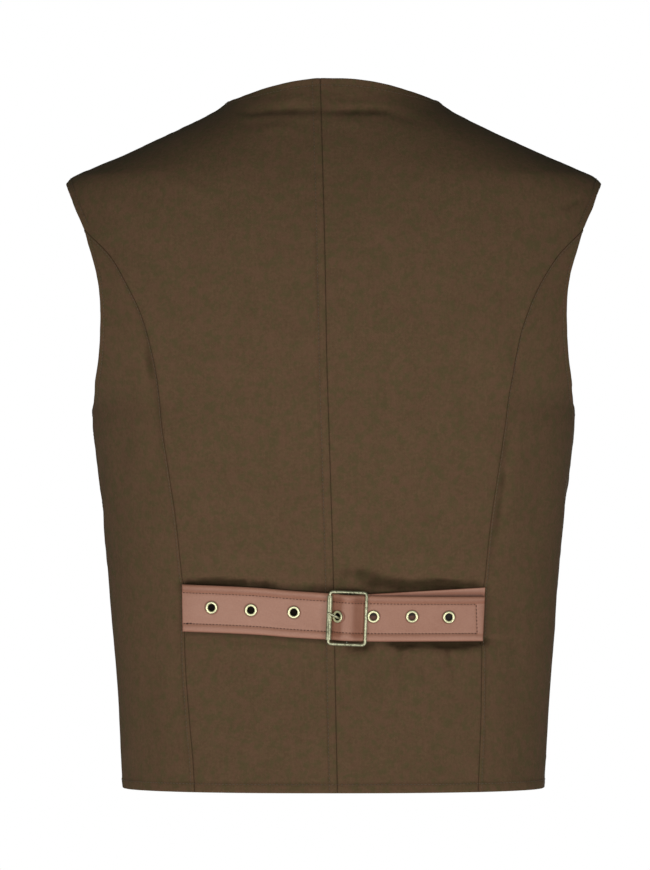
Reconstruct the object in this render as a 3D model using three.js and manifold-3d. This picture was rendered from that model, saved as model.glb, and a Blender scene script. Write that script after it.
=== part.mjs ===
// A waist-length vest that keeps the form of the body it is worn on, open at the neck, arms and hem.
// Woven back and side panels, leather fronts, and a leather belt with a wire buckle across the back.
// Millimetres. +X is the wearer's right, +Y the wearer's front and +Z up.
import * as THREE from 'three';
import { mergeVertices } from 'three/addons/utils/BufferGeometryUtils.js';
import Module from 'manifold-3d';

const wasm = await Module();
wasm.setup();

// Panels.
const clothWall = 1.6;
const leatherWall = 2.0;
const seamGap = 0.3;
const frontOverlap = 15; // each front runs this far past the centre
const underlapStep = 2.7; // how far the right front drops to pass beneath the left one
const underlapFrom = 18;
const underlapTo = 34;
const neckHeight = 595; // side neck points above the hem
const neckDepth = 2; // and this far before the side line
const backNeckHeight = 610.7; // neckline at the back's middle seam
const middleAtArmhole = 500; // level on the middle seam that belongs to the back seam's top
const sideSeamAtHem = 8; // the side seam's depth at the hem
const shoulderLift = 6; // how far the shoulder seam bows up between its ends

// Rows and columns of the panels' grids.
const seamRows = 18; // hem to the underarm
const upperRows = 9; // back seam's top to the shoulder seam
const frontUpperRows = 12; // underarm to the shoulder seam
const easing = 1.35;
const neckColumns = 5;
const sideColumns = 8;
const shoulderShares = [0, 0.06, 0.12, 0.19, 0.28, 0.39, 0.52, 0.67, 0.83, 1];

// Belt.
const longStrapThick = 1.5;
const buckleStrapThick = 1.4;
const strapSpacing = 1.8; // between the middles of the two straps where one lies on the other
const beltWidth = 40;
const seamEndLong = -129;
const seamEndBuckle = 128.2;
const freeEnd = 127.3;
const barHeight = 7; // the buckle's bars above the back panel
const barRadius = 1.35;
const rollerInner = 1.95;
const rollerOuter = 2.45;
const rollerHalf = 18.9;
const prongRadius = 1.15;
const prongSlot = { along: 13, across: 3.1, deep: 14 }; // cut through the buckle strap round its bar
const buckleMiddle = 11.7;
const buckleLean = 2.2; // degrees, its top towards +X
const buckleMiddleHeight = 148.9;
const buckleHalfWidth = 15.6;
const buckleHalfHeight = 22.2;
const buckleCorner = 2.6;
const eyelet = { flange: 5.3, hole: 3.2, barrel: 3.6, cut: 3.9, rise: 0.6, sides: 16 };

// Buttons.
const button = { radius: 8.5, rim: 1.6, dome: 3.4, sides: 20 };
const buttonHeights = [42, 118, 194, 270, 344];

// The worn form above the hem: half its width, then its depth behind and before the side line.
const formRows = [
  { height: 0, width: 182.5, back: 104, front: 112 },
  { height: 93, width: 188, back: 99.3, front: 112 },
  { height: 125, width: 190.4, back: 98.3, front: 112.5 },
  { height: 149, width: 192.3, back: 98.1, front: 113 },
  { height: 173, width: 194.1, back: 98.4, front: 114 },
  { height: 200, width: 196.3, back: 100.8, front: 115.2 },
  { height: 249, width: 201.5, back: 106, front: 118.5 },
  { height: 283, width: 205.3, back: 109.5, front: 121 },
  { height: 318, width: 208.4, back: 113, front: 123.5 },
  { height: 330, width: 208.2, back: 114, front: 124 },
  { height: 340, width: 211, back: 114.8, front: 124.5 },
  { height: 350, width: 216, back: 115.5, front: 125 },
  { height: 370, width: 224, back: 117, front: 125.5 },
  { height: 404, width: 233, back: 118.5, front: 125 },
  { height: 440, width: 238, back: 118, front: 122 },
  { height: 470, width: 240, back: 115.5, front: 117 },
  { height: 500, width: 238.5, back: 110.5, front: 108 },
  { height: 514, width: 235.5, back: 107, front: 102.5 },
  { height: 521, width: 232, back: 105, front: 99.5 },
  { height: 528, width: 225.5, back: 102.5, front: 96 },
  { height: 535, width: 210.5, back: 100, front: 92 },
  { height: 548, width: 180, back: 94.5, front: 84 },
  { height: 562, width: 149.5, back: 88, front: 74 },
  { height: 571, width: 130, back: 83.5, front: 68 },
  { height: 578, width: 115.5, back: 79.8, front: 63 },
  { height: 585, width: 102.5, back: 76, front: 58.5 },
  { height: 592, width: 92.5, back: 72.5, front: 54 },
  { height: 600, width: 83.5, back: 69, front: 50 },
  { height: 612, width: 77, back: 65, front: 46 },
];
const widthPower = 2.5;
const depthPower = 2.2;

// The seam between the back panels and the side panels: its distance from the middle at each height.
const backSeamRows = [
  { height: 0, left: 118.6, right: 123.6 },
  { height: 28, left: 120.2, right: 124.7 },
  { height: 57, left: 123.0, right: 125.7 },
  { height: 107, left: 126.7, right: 126.6 },
  { height: 177, left: 129.2, right: 129.1 },
  { height: 231, left: 134.8, right: 134.7 },
  { height: 290, left: 143.6, right: 143.2 },
  { height: 332, left: 148.6, right: 148.6 },
  { height: 357, left: 151.8, right: 153.2 },
  { height: 401, left: 162.3, right: 162.7 },
  { height: 431, left: 175.5, right: 175.2 },
  { height: 459, left: 192.1, right: 192.8 },
  { height: 481.4, left: 214.0, right: 214.0 },
];

// The seam down the middle of the back, which wanders a little to one side.
const middleSeamRows = [
  { height: 0, across: 3.2 },
  { height: 85, across: 1.5 },
  { height: 176, across: -0.1 },
  { height: 288, across: -3.3 },
  { height: 370, across: -5.8 },
  { height: 453, across: -7.3 },
  { height: 551, across: -9.8 },
  { height: 612, across: -11.5 },
];

// The armhole seen from the side, from the shoulder down behind the arm and up before it.
const armholeRows = [
  { depth: 6, height: 521.6 },
  { depth: -15, height: 520.6 },
  { depth: -35.7, height: 512.9 },
  { depth: -49.2, height: 498.4 },
  { depth: -60.2, height: 481.4 },
  { depth: -65, height: 468.2 },
  { depth: -71.7, height: 438.4 },
  { depth: -70.4, height: 402.9 },
  { depth: -59.5, height: 369.4 },
  { depth: -44, height: 349.9 },
  { depth: -31, height: 339.2 },
  { depth: -14, height: 330.6 },
  { depth: 5, height: 327.5 },
  { depth: 24, height: 331 },
  { depth: 45, height: 345 },
  { depth: 62, height: 368 },
  { depth: 73, height: 400 },
  { depth: 75, height: 435 },
  { depth: 65, height: 470 },
  { depth: 47, height: 498 },
  { depth: 27, height: 515 },
];
const armholeAtSeam = 4; // the row where the back seam meets it
const armholeAtUnderarm = 12;

// The back of the neckline, from the middle seam to near the side neck point, then a guide
// just behind that point.
const neckRows = [
  { across: 28, height: 609.2 },
  { across: 46, height: 606 },
  { across: 59, height: 602.9 },
  { across: 70, height: 599.7 },
  { across: 78, height: 597.2 },
  { across: 84.5, height: 595.7 },
];
const behindNeckPoint = { depth: -12, rise: 0.1 };

// The left front's inner edge: up past the buttons, then along the V neck to the side neck point.
const frontEdgeRows = [
  { across: frontOverlap, height: 0 },
  { across: frontOverlap, height: 180 },
  { across: frontOverlap, height: 330 },
  { across: frontOverlap - 1, height: 358 },
  { across: 8, height: 376 },
  { across: -10, height: 404 },
  { across: -33, height: 442 },
  { across: -56, height: 486 },
  { across: -73, height: 528 },
  { across: -84, height: 566 },
  { across: -89, height: 586 },
];
const frontEdgeAtUnderarm = 2;

// Where each strap runs: the height of its middle, the lean of its width, in degrees, and its width,
// which narrows a little towards the free end.
const longStrapRows = [
  { along: -130, middle: 157.3, lean: -0.6, width: 40.6 },
  { along: -101, middle: 156.4, lean: 0.4, width: 40.4 },
  { along: -67, middle: 154.9, lean: 1.4, width: 40.2 },
  { along: -34, middle: 152.3, lean: 2.0, width: 40 },
  { along: -6, middle: 150.6, lean: 2.2, width: 39.8 },
  { along: 11.7, middle: 149.4, lean: 2.2, width: 39.6 },
  { along: 34, middle: 148.6, lean: 2.2, width: 39.3 },
  { along: 70, middle: 148.3, lean: 2.4, width: 38.8 },
  { along: 131, middle: 148.1, lean: 2.5, width: 38.4 },
];
const buckleStrapRows = [
  { along: -20, middle: 147.8, lean: 2.2, width: 39 },
  { along: 11.7, middle: 149.2, lean: 2.2, width: 39 },
  { along: 30, middle: 150.1, lean: 2.2, width: 39.2 },
  { along: 131, middle: 155.2, lean: 2.5, width: 40 },
];

// The long strap's middle layer above the back panel: under the roller, over the middle bar,
// under the far bar, then flat on the buckle strap.
const longStrapProfile = [
  [-140, 1.15], [-90, 1.15], [-60, 1.15], [-40, 1.25], [-25, 1.8], [-12, 3.0], [-3.9, 3.35], [0, 4.85],
  [3.8, 7.75], [7.5, 10.3], [11.7, 11.2], [15.9, 10.4], [20, 8.1], [24, 5.7], [27.3, 4.65], [33, 4.6],
  [45, 4.6], [52, 4.0], [60, 3.1], [70, 2.95], [90, 2.95], [140, 2.95],
];
const foldBackProfile = [[15, 3.9], [19, 2.2], [24, 1.15], [30, 1.05], [42, 1.05]];
const loopRadius = barRadius + seamGap + buckleStrapThick / 2;

// Eyelets: place along the strap, and how far above the strap's middle.
const eyeletRows = [
  { along: -103.7, above: 1.3 },
  { along: -70.3, above: 0.7 },
  { along: -33.9, above: 1.7 },
  { along: 3.8, above: 0.6 },
  { along: 33.5, above: 1.8 },
  { along: 66.2, above: 2.1 },
  { along: 97.3, above: 1.6 },
];

// The prong's middle from its ring, up through the fourth eyelet and over the roller.
const prongRows = [
  [9.4, 7.0, -1.6], [7.6, 7.05, -1.1], [5.6, 7.45, -0.4], [3.8, 8.3, 0.3], [1.6, 9.7, 1.3],
  [-0.8, 10.75, 2.4], [-3.4, 11.15, 3.4], [-5.6, 10.95, 4.2],
];

// Cubic through a table's rows that never overshoots them.
function throughRows(rows, key, value) {
  const at = rows.map((row) => row[key]);
  const of = rows.map((row) => row[value]);
  const rise = at.slice(1).map((next, i) => (of[i + 1] - of[i]) / (next - at[i]));
  const slope = at.map((_, i) => {
    if (i === 0) return rise[0];
    if (i === at.length - 1) return rise[i - 1];
    if (rise[i - 1] * rise[i] <= 0) return 0;
    const before = at[i] - at[i - 1];
    const after = at[i + 1] - at[i];
    const first = 2 * after + before;
    const second = after + 2 * before;
    return (first + second) / (first / rise[i - 1] + second / rise[i]);
  });
  return (place) => {
    const clamped = Math.min(Math.max(place, at[0]), at[at.length - 1]);
    let i = 0;
    while (i < at.length - 2 && clamped > at[i + 1]) i += 1;
    const span = at[i + 1] - at[i];
    const t = (clamped - at[i]) / span;
    const back = 1 - t;
    return (1 + 2 * t) * back * back * of[i] + t * back * back * span * slope[i]
      + t * t * (3 - 2 * t) * of[i + 1] - t * t * back * span * slope[i + 1];
  };
}

const formWidth = throughRows(formRows, 'height', 'width');
const formBack = throughRows(formRows, 'height', 'back');
const formFront = throughRows(formRows, 'height', 'front');

// Below 1 inside the form and above 1 outside it.
function formValue(x, y, z) {
  const depth = y < 0 ? formBack(z) : formFront(z);
  return Math.abs(x / formWidth(z)) ** widthPower + Math.abs(y / depth) ** depthPower;
}

function formNormal(point) {
  const step = 0.5;
  const rise = (dx, dy, dz) => formValue(point.x + dx, point.y + dy, point.z + dz)
    - formValue(point.x - dx, point.y - dy, point.z - dz);
  return new THREE.Vector3(rise(step, 0, 0), rise(0, step, 0), rise(0, 0, step)).normalize();
}

const backPoint = (x, z) => {
  const left = Math.max(0, 1 - Math.abs(x / formWidth(z)) ** widthPower);
  return new THREE.Vector3(x, -formBack(z) * left ** (1 / depthPower), z);
};
const frontPoint = (x, z) => {
  const left = Math.max(0, 1 - Math.abs(x / formWidth(z)) ** widthPower);
  return new THREE.Vector3(x, formFront(z) * left ** (1 / depthPower), z);
};
const sidePoint = (side, y, z) => {
  const left = Math.max(0, 1 - Math.abs(y / (y < 0 ? formBack(z) : formFront(z))) ** depthPower);
  return new THREE.Vector3(side * formWidth(z) * left ** (1 / widthPower), y, z);
};

// The core inside the body: it follows a point level with it, but stays below a roof
// that falls to the shoulders.
const core = { share: 0.55, roof: 545, flatTo: 60, fall: 0.42, soft: 25 };

// Moves a point near the form onto it, along the line from the core.
function ontoForm(point) {
  const roof = core.roof - core.fall * Math.max(0, Math.abs(point.x) - core.flatTo);
  const over = (point.z - roof) / core.soft;
  const from = new THREE.Vector3(point.x * core.share, 0, point.z - core.soft * Math.log1p(Math.exp(over)));
  const ray = point.clone().sub(from);
  const valueAt = (t) => formValue(from.x + ray.x * t, from.y + ray.y * t, from.z + ray.z * t);
  let low = 0.3;
  let high = 3;
  for (let i = 0; i < 44; i += 1) {
    const middle = (low + high) / 2;
    if (valueAt(middle) < 1) low = middle;
    else high = middle;
  }
  return from.addScaledVector(ray, (low + high) / 2);
}

// How far along a run of points each of them lies, from 0 to 1.
function sharesOf(points) {
  const lengths = [0];
  points.slice(1).forEach((point, i) => lengths.push(lengths[i] + point.distanceTo(points[i])));
  return lengths.map((length) => length / lengths[lengths.length - 1]);
}

// The part of a curve between two of its parameters, sampled at shares of that part's length
// and put back on the form. The ends stay as they are.
function partOfCurve(curve, from, to, shares) {
  const fine = 200;
  const dense = Array.from({ length: fine + 1 }, (_, i) => curve.getPoint(from + (to - from) * (i / fine)));
  const lengths = sharesOf(dense);
  return shares.map((share) => {
    if (share <= 0) return dense[0].clone();
    if (share >= 1) return dense[fine].clone();
    const i = lengths.findIndex((length) => length >= share);
    const within = (share - lengths[i - 1]) / (lengths[i] - lengths[i - 1]);
    return ontoForm(dense[i - 1].clone().lerp(dense[i], within));
  });
}

const alongCurve = (points, shares) => partOfCurve(
  new THREE.CatmullRomCurve3(points, false, 'centripetal'), 0, 1, shares,
);

const evenShares = (count) => Array.from({ length: count + 1 }, (_, i) => i / count);
// Closer together towards the end.
const easedShares = (count) => evenShares(count).map((share) => 1 - (1 - share) ** easing);

// The seams and edges of one side of the vest: side is -1 on the wearer's left and 1 on the right.
const seamName = (side) => (side < 0 ? 'left' : 'right');
const backSeam = (side) => alongCurve(
  backSeamRows.map((row) => backPoint(side * row[seamName(side)], row.height)),
  evenShares(seamRows),
);
function armholePart(side, from, to, shares) {
  const points = armholeRows.map((row) => sidePoint(side, row.depth, row.height));
  const curve = new THREE.CatmullRomCurve3(points, true, 'centripetal');
  return partOfCurve(curve, from / points.length, to / points.length, shares);
}
const armholeUpper = (side) => armholePart(side, armholeAtSeam, 0, easedShares(upperRows));
const armholeSide = (side) => armholePart(side, armholeAtSeam, armholeAtUnderarm, evenShares(sideColumns));
const armholeFront = (side) => armholePart(
  side, armholeAtUnderarm, armholeRows.length, evenShares(frontUpperRows),
);
const underarm = armholeRows[armholeAtUnderarm];
const sideSeam = (side) => alongCurve(
  evenShares(4).map((share) => sidePoint(
    side, THREE.MathUtils.lerp(sideSeamAtHem, underarm.depth, share), underarm.height * share,
  )),
  evenShares(seamRows),
);
const middleAcross = throughRows(middleSeamRows, 'height', 'across');

// The shoulder seam from the side neck point to the tip.
function shoulderSeam(side) {
  const neck = sidePoint(side, neckDepth, neckHeight);
  const tip = sidePoint(side, armholeRows[0].depth, armholeRows[0].height);
  const guides = evenShares(6).map((share) => {
    const guide = neck.clone().lerp(tip, share);
    guide.z += shoulderLift * Math.sin(Math.PI * share);
    return share > 0 && share < 1 ? ontoForm(guide) : guide;
  });
  return alongCurve(guides, shoulderShares);
}

function backNeckline(side) {
  const points = [
    backPoint(middleAcross(backNeckHeight), backNeckHeight),
    ...neckRows.map((row) => backPoint(side * row.across, row.height)),
    sidePoint(side, behindNeckPoint.depth, neckHeight + behindNeckPoint.rise),
    sidePoint(side, neckDepth, neckHeight),
  ];
  return alongCurve(points, evenShares(neckColumns));
}

function hemBetween(from, to, shares) {
  return shares.map((share) => {
    const guide = from.clone().lerp(to, share);
    return share <= 0 ? from.clone() : share >= 1 ? to.clone() : ontoForm(guide);
  });
}

// Fills four edge curves with a grid on the form: rows run up, columns run from the inner edge out.
function fillEdges({ bottom, top, inner, outer }) {
  const acrossShares = sharesOf(top).map((share, i) => (share + sharesOf(bottom)[i]) / 2);
  const upShares = sharesOf(inner).map((share, i) => (share + sharesOf(outer)[i]) / 2);
  return inner.map((_, r) => acrossShares.map((u, c) => {
    const v = upShares[r];
    if (r === 0) return bottom[c].clone();
    if (r === inner.length - 1) return top[c].clone();
    if (c === 0) return inner[r].clone();
    if (c === top.length - 1) return outer[r].clone();
    const point = new THREE.Vector3()
      .addScaledVector(bottom[c], 1 - v).addScaledVector(top[c], v)
      .addScaledVector(inner[r], 1 - u).addScaledVector(outer[r], u)
      .addScaledVector(bottom[0], -(1 - u) * (1 - v)).addScaledVector(bottom[bottom.length - 1], -u * (1 - v))
      .addScaledVector(top[0], -(1 - u) * v).addScaledVector(top[top.length - 1], -u * v);
    return ontoForm(point);
  }));
}

// A closed mesh between an outer and an inner grid of points.
function wallGeometry(outer, inner) {
  const rows = outer.length;
  const columns = outer[0].length;
  const positions = [...outer.flat(), ...inner.flat()].flatMap((point) => [point.x, point.y, point.z]);
  const at = (layer, r, c) => layer * rows * columns + r * columns + c;
  const faces = [];
  const quad = (a, b, c, d) => faces.push(a, b, c, a, c, d);
  for (let r = 0; r < rows - 1; r += 1) {
    for (let c = 0; c < columns - 1; c += 1) {
      quad(at(0, r, c), at(0, r, c + 1), at(0, r + 1, c + 1), at(0, r + 1, c));
      quad(at(1, r, c), at(1, r + 1, c), at(1, r + 1, c + 1), at(1, r, c + 1));
    }
    quad(at(0, r, 0), at(0, r + 1, 0), at(1, r + 1, 0), at(1, r, 0));
    quad(at(0, r, columns - 1), at(1, r, columns - 1), at(1, r + 1, columns - 1), at(0, r + 1, columns - 1));
  }
  for (let c = 0; c < columns - 1; c += 1) {
    quad(at(0, 0, c), at(1, 0, c), at(1, 0, c + 1), at(0, 0, c + 1));
    quad(at(0, rows - 1, c), at(0, rows - 1, c + 1), at(1, rows - 1, c + 1), at(1, rows - 1, c));
  }
  return closedGeometry(positions, faces);
}

// A geometry from positions and triangles, turned outward.
function closedGeometry(positions, faces) {
  const corner = (i) => new THREE.Vector3(...positions.slice(3 * i, 3 * i + 3));
  let volume = 0;
  for (let i = 0; i < faces.length; i += 3) {
    volume += corner(faces[i]).dot(corner(faces[i + 1]).cross(corner(faces[i + 2]))) / 6;
  }
  const turned = [...faces];
  if (volume < 0) {
    for (let i = 0; i < faces.length; i += 3) [turned[i + 1], turned[i + 2]] = [faces[i + 2], faces[i + 1]];
  }
  const geometry = new THREE.BufferGeometry();
  geometry.setAttribute('position', new THREE.Float32BufferAttribute(positions, 3));
  geometry.setIndex(turned);
  return geometry;
}

// Draws one edge of a panel back from its seam by half of the seam's gap.
function drawBack(points, normals, towards) {
  const half = seamGap / 2;
  return points.map((point, i) => {
    const before = points[Math.max(0, i - 1)];
    const after = points[Math.min(points.length - 1, i + 1)];
    const sideways = after.clone().sub(before).cross(normals[i]).normalize();
    if (sideways.dot(towards[i].clone().sub(point)) < 0) sideways.negate();
    return point.clone().addScaledVector(sideways, half);
  });
}

// Gives a panel its wall, with its seam edges drawn back. seams lists runs of grid places.
function panelGeometry(grid, wall, seams, sink = () => 0) {
  const normals = grid.map((row) => row.map(formNormal));
  const outer = grid.map((row) => row.map((point) => point.clone()));
  seams.forEach(({ run, next }) => {
    const moved = drawBack(
      run.map(([r, c]) => grid[r][c]),
      run.map(([r, c]) => normals[r][c]),
      next.map(([r, c]) => grid[r][c]),
    );
    run.forEach(([r, c], i) => outer[r][c].copy(moved[i]));
  });
  outer.forEach((row, r) => row.forEach((point, c) => point.addScaledVector(normals[r][c], -sink(point.x))));
  const inner = outer.map((row, r) => row.map(
    (point, c) => point.clone().addScaledVector(normals[r][c], -wall),
  ));
  return wallGeometry(outer, inner);
}

const range = (from, to) => Array.from({ length: to - from + 1 }, (_, i) => from + i);

function backPanel(side) {
  const seam = backSeam(side);
  const outer = [...seam, ...armholeUpper(side).slice(1)];
  const heights = [
    ...evenShares(seamRows).map((share) => middleAtArmhole * share),
    ...easedShares(upperRows).slice(1).map(
      (share) => THREE.MathUtils.lerp(middleAtArmhole, backNeckHeight, share),
    ),
  ];
  const inner = heights.map((z) => backPoint(middleAcross(z), z));
  const neckline = backNeckline(side);
  const top = [...neckline, ...shoulderSeam(side).slice(1)];
  const bottom = hemBetween(inner[0], outer[0], sharesOf(top));
  const grid = fillEdges({ bottom, top, inner, outer });
  const last = top.length - 1;
  const rows = seamRows + upperRows;
  return panelGeometry(grid, clothWall, [
    { run: range(0, rows).map((r) => [r, 0]), next: range(0, rows).map((r) => [r, 1]) },
    { run: range(0, seamRows).map((r) => [r, last]), next: range(0, seamRows).map((r) => [r, last - 1]) },
    {
      run: range(neckColumns, last).map((c) => [rows, c]),
      next: range(neckColumns, last).map((c) => [rows - 1, c]),
    },
  ]);
}

function sidePanel(side) {
  const inner = backSeam(side);
  const outer = sideSeam(side);
  const top = armholeSide(side);
  const bottom = hemBetween(inner[0], outer[0], sharesOf(top));
  const grid = fillEdges({ bottom, top, inner, outer });
  return panelGeometry(grid, clothWall, [
    { run: range(0, seamRows).map((r) => [r, 0]), next: range(0, seamRows).map((r) => [r, 1]) },
    {
      run: range(0, seamRows).map((r) => [r, sideColumns]),
      next: range(0, seamRows).map((r) => [r, sideColumns - 1]),
    },
  ]);
}

const smooth = (from, to, place) => {
  const t = Math.min(1, Math.max(0, (place - from) / (to - from)));
  return t * t * (3 - 2 * t);
};

function frontPanel(side) {
  const edge = frontEdgeRows.map((row) => frontPoint(-side * row.across, row.height));
  const lower = alongCurve(edge.slice(0, frontEdgeAtUnderarm + 1), evenShares(seamRows));
  const neck = sidePoint(side, neckDepth, neckHeight);
  const upper = alongCurve([...edge.slice(frontEdgeAtUnderarm), neck], evenShares(frontUpperRows));
  const inner = [...lower, ...upper.slice(1)];
  const outer = [...sideSeam(side), ...armholeFront(side).slice(1)];
  const top = shoulderSeam(side);
  const bottom = hemBetween(inner[0], outer[0], shoulderShares);
  const grid = fillEdges({ bottom, top, inner, outer });
  const last = top.length - 1;
  const rows = seamRows + frontUpperRows;
  const sink = side > 0 ? (x) => underlapStep * (1 - smooth(underlapFrom, underlapTo, x)) : () => 0;
  return panelGeometry(grid, leatherWall, [
    { run: range(0, seamRows).map((r) => [r, last]), next: range(0, seamRows).map((r) => [r, last - 1]) },
    { run: range(0, last).map((c) => [rows, c]), next: range(0, last).map((c) => [rows - 1, c]) },
  ], sink);
}

// Belt coordinates: along the strap, across it, and above the back panel.
function beltLayout(rows) {
  const middle = throughRows(rows, 'along', 'middle');
  const lean = throughRows(rows, 'along', 'lean');
  const width = throughRows(rows, 'along', 'width');
  return (along, across, above) => {
    const angle = THREE.MathUtils.degToRad(lean(along));
    const off = across * (width(along) / beltWidth);
    const point = backPoint(along + off * Math.sin(angle), middle(along) + off * Math.cos(angle));
    return point.addScaledVector(formNormal(point), above);
  };
}
const onLongStrap = beltLayout(longStrapRows);
const onBuckleStrap = beltLayout(buckleStrapRows);

// The buckle lies in the plane that touches the back at its middle.
const buckleFoot = backPoint(buckleMiddle, buckleMiddleHeight);
const buckleOut = formNormal(buckleFoot);
const buckleUp = new THREE.Vector3(Math.sin(THREE.MathUtils.degToRad(buckleLean)), 0, 1)
  .projectOnPlane(buckleOut).normalize();
const buckleAlong = buckleUp.clone().cross(buckleOut);
const onBuckle = (along, across, above) => buckleFoot.clone()
  .addScaledVector(buckleAlong, along - buckleMiddle)
  .addScaledVector(buckleUp, across)
  .addScaledVector(buckleOut, above);

const profileRows = longStrapProfile.map(([along, above]) => ({ along, above }));
const longStrapAbove = throughRows(profileRows, 'along', 'above');

// Two-dimensional path points with the normal to the left of the way they run.
function withNormals(path) {
  return path.map(([s, h], i) => {
    const [s0, h0] = path[Math.max(0, i - 1)];
    const [s1, h1] = path[Math.min(path.length - 1, i + 1)];
    const length = Math.hypot(s1 - s0, h1 - h0);
    return { s, h, ns: -(h1 - h0) / length, nh: (s1 - s0) / length };
  });
}

function stepsBetween(stops) {
  return stops.slice(1).flatMap(([to, step], i) => {
    const from = stops[i][0];
    const count = Math.max(1, Math.round((to - from) / step));
    return range(i === 0 ? 0 : 1, count).map((n) => from + (to - from) * (n / count));
  });
}

// A strap from a path of its middle layer and its thickness.
const acrossPlaces = [-1, -0.5, 0, 0.5, 1].map((share) => share * beltWidth / 2);
function strapGeometry(layout, path, thick) {
  const layer = (sign) => withNormals(path).map(({ s, h, ns, nh }) => acrossPlaces.map(
    (across) => layout(s + sign * ns * thick / 2, across, h + sign * nh * thick / 2),
  ));
  return wallGeometry(layer(1), layer(-1));
}

// Where the long strap's rows change their spacing: a place along it and the spacing up to there.
const longStops = [
  [seamEndLong, 9], [-60, 9], [-34, 8], [-14, 5], [-6, 2], [30, 2], [44, 5], [62, 4], [freeEnd, 9],
];
const longPath = stepsBetween(longStops).map((s) => [s, longStrapAbove(s)]);

function solidOf(geometry) {
  const bare = geometry.index ? geometry.clone() : geometry.toNonIndexed();
  bare.deleteAttribute('normal');
  bare.deleteAttribute('uv');
  const merged = mergeVertices(bare, 1e-4);
  return new wasm.Manifold(new wasm.Mesh({
    numProp: 3,
    vertProperties: merged.attributes.position.array,
    triVerts: new Uint32Array(merged.index.array),
  }));
}

function geometryOf(solid) {
  const mesh = solid.getMesh();
  const geometry = new THREE.BufferGeometry();
  geometry.setAttribute('position', new THREE.Float32BufferAttribute(mesh.vertProperties, 3));
  geometry.setIndex(Array.from(mesh.triVerts));
  return geometry;
}

// The place of an eyelet: its middle in the strap, turned so that its axis leaves the strap's face.
function eyeletMatrix({ along, above }) {
  const height = longStrapAbove(along);
  const near = 1;
  const ahead = onLongStrap(along + near, above, longStrapAbove(along + near));
  const behind = onLongStrap(along - near, above, longStrapAbove(along - near));
  const higher = onLongStrap(along, above + near, height);
  const lower = onLongStrap(along, above - near, height);
  const alongAxis = ahead.sub(behind).normalize();
  const acrossAxis = higher.sub(lower).normalize();
  const outAxis = alongAxis.clone().cross(acrossAxis).normalize();
  const acrossSquare = outAxis.clone().cross(alongAxis);
  const middle = onLongStrap(along, above, height);
  return new THREE.Matrix4().makeBasis(alongAxis, acrossSquare, outAxis).setPosition(middle);
}

const lathe = (profile, sides) => new THREE.LatheGeometry(
  profile.map(([radius, height]) => new THREE.Vector2(radius, height)),
  sides,
).rotateX(Math.PI / 2); // the lathe's axis becomes +Z

function longStrap() {
  let solid = solidOf(strapGeometry(onLongStrap, longPath, longStrapThick));
  const reach = 3; // the cutter passes this far through both faces
  eyeletRows.forEach((row) => {
    const hole = lathe([[0, -reach], [eyelet.cut, -reach], [eyelet.cut, reach], [0, reach]], eyelet.sides);
    solid = solid.subtract(solidOf(hole.applyMatrix4(eyeletMatrix(row))));
  });
  return geometryOf(solid);
}

function buckleStrap() {
  const stops = [[seamEndBuckle, 9], [62, 4], [44, 5], [30, 2], [buckleMiddle, 2]];
  const places = stepsBetween(stops.map(([s, step]) => [-s, step])).map((s) => -s);
  const upperPath = withNormals(places.map((s) => [s, longStrapAbove(s)]))
    .map(({ s, h, ns, nh }) => [s + ns * strapSpacing, h + nh * strapSpacing]);
  upperPath[upperPath.length - 1] = [buckleMiddle, barHeight + loopRadius];
  const loopSteps = 8;
  const loop = range(1, loopSteps).map((n) => {
    const angle = Math.PI / 2 + Math.PI * (n / loopSteps);
    return [buckleMiddle + loopRadius * Math.cos(angle), barHeight + loopRadius * Math.sin(angle)];
  });
  const foldRows = foldBackProfile.map(([along, above]) => ({ along, above }));
  const foldAbove = throughRows(foldRows, 'along', 'above');
  const foldStart = foldRows[0].along;
  const foldEnd = foldRows[foldRows.length - 1].along;
  const fold = stepsBetween([[foldStart, 2], [24, 2], [30, 3], [foldEnd, 6]]).map((s) => [s, foldAbove(s)]);
  const path = [...upperPath, ...loop, ...fold];
  const strap = solidOf(strapGeometry(onBuckleStrap, path, buckleStrapThick));
  const cutter = new THREE.BoxGeometry(prongSlot.along, prongSlot.across, prongSlot.deep);
  cutter.applyMatrix4(new THREE.Matrix4().makeBasis(buckleAlong, buckleUp, buckleOut));
  cutter.translate(...onBuckle(buckleMiddle, prongRows[0][2], barHeight));
  return geometryOf(strap.subtract(solidOf(cutter)));
}

// A round wire along a path of points; closed joins its ends.
function wireGeometry(points, radii, sides, outwards, closed = false) {
  const count = points.length;
  const sections = points.map((point, i) => {
    const before = closed ? points[(i + count - 1) % count] : points[Math.max(0, i - 1)];
    const after = closed ? points[(i + 1) % count] : points[Math.min(count - 1, i + 1)];
    const way = after.clone().sub(before).normalize();
    const across = way.clone().cross(outwards).normalize();
    const up = across.clone().cross(way).normalize();
    return range(0, sides - 1).map((n) => {
      const angle = 2 * Math.PI * (n / sides);
      return point.clone().addScaledVector(across, radii[i] * Math.cos(angle))
        .addScaledVector(up, radii[i] * Math.sin(angle));
    });
  });
  const faces = [];
  const at = (i, n) => (i % count) * sides + (n % sides);
  for (let i = 0; i < (closed ? count : count - 1); i += 1) {
    for (let n = 0; n < sides; n += 1) {
      faces.push(at(i, n), at(i, n + 1), at(i + 1, n + 1), at(i, n), at(i + 1, n + 1), at(i + 1, n));
    }
  }
  if (!closed) {
    for (let n = 1; n < sides - 1; n += 1) {
      faces.push(at(0, 0), at(0, n + 1), at(0, n), at(count - 1, 0), at(count - 1, n), at(count - 1, n + 1));
    }
  }
  return closedGeometry(sections.flat().flatMap((point) => [point.x, point.y, point.z]), faces);
}

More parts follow.
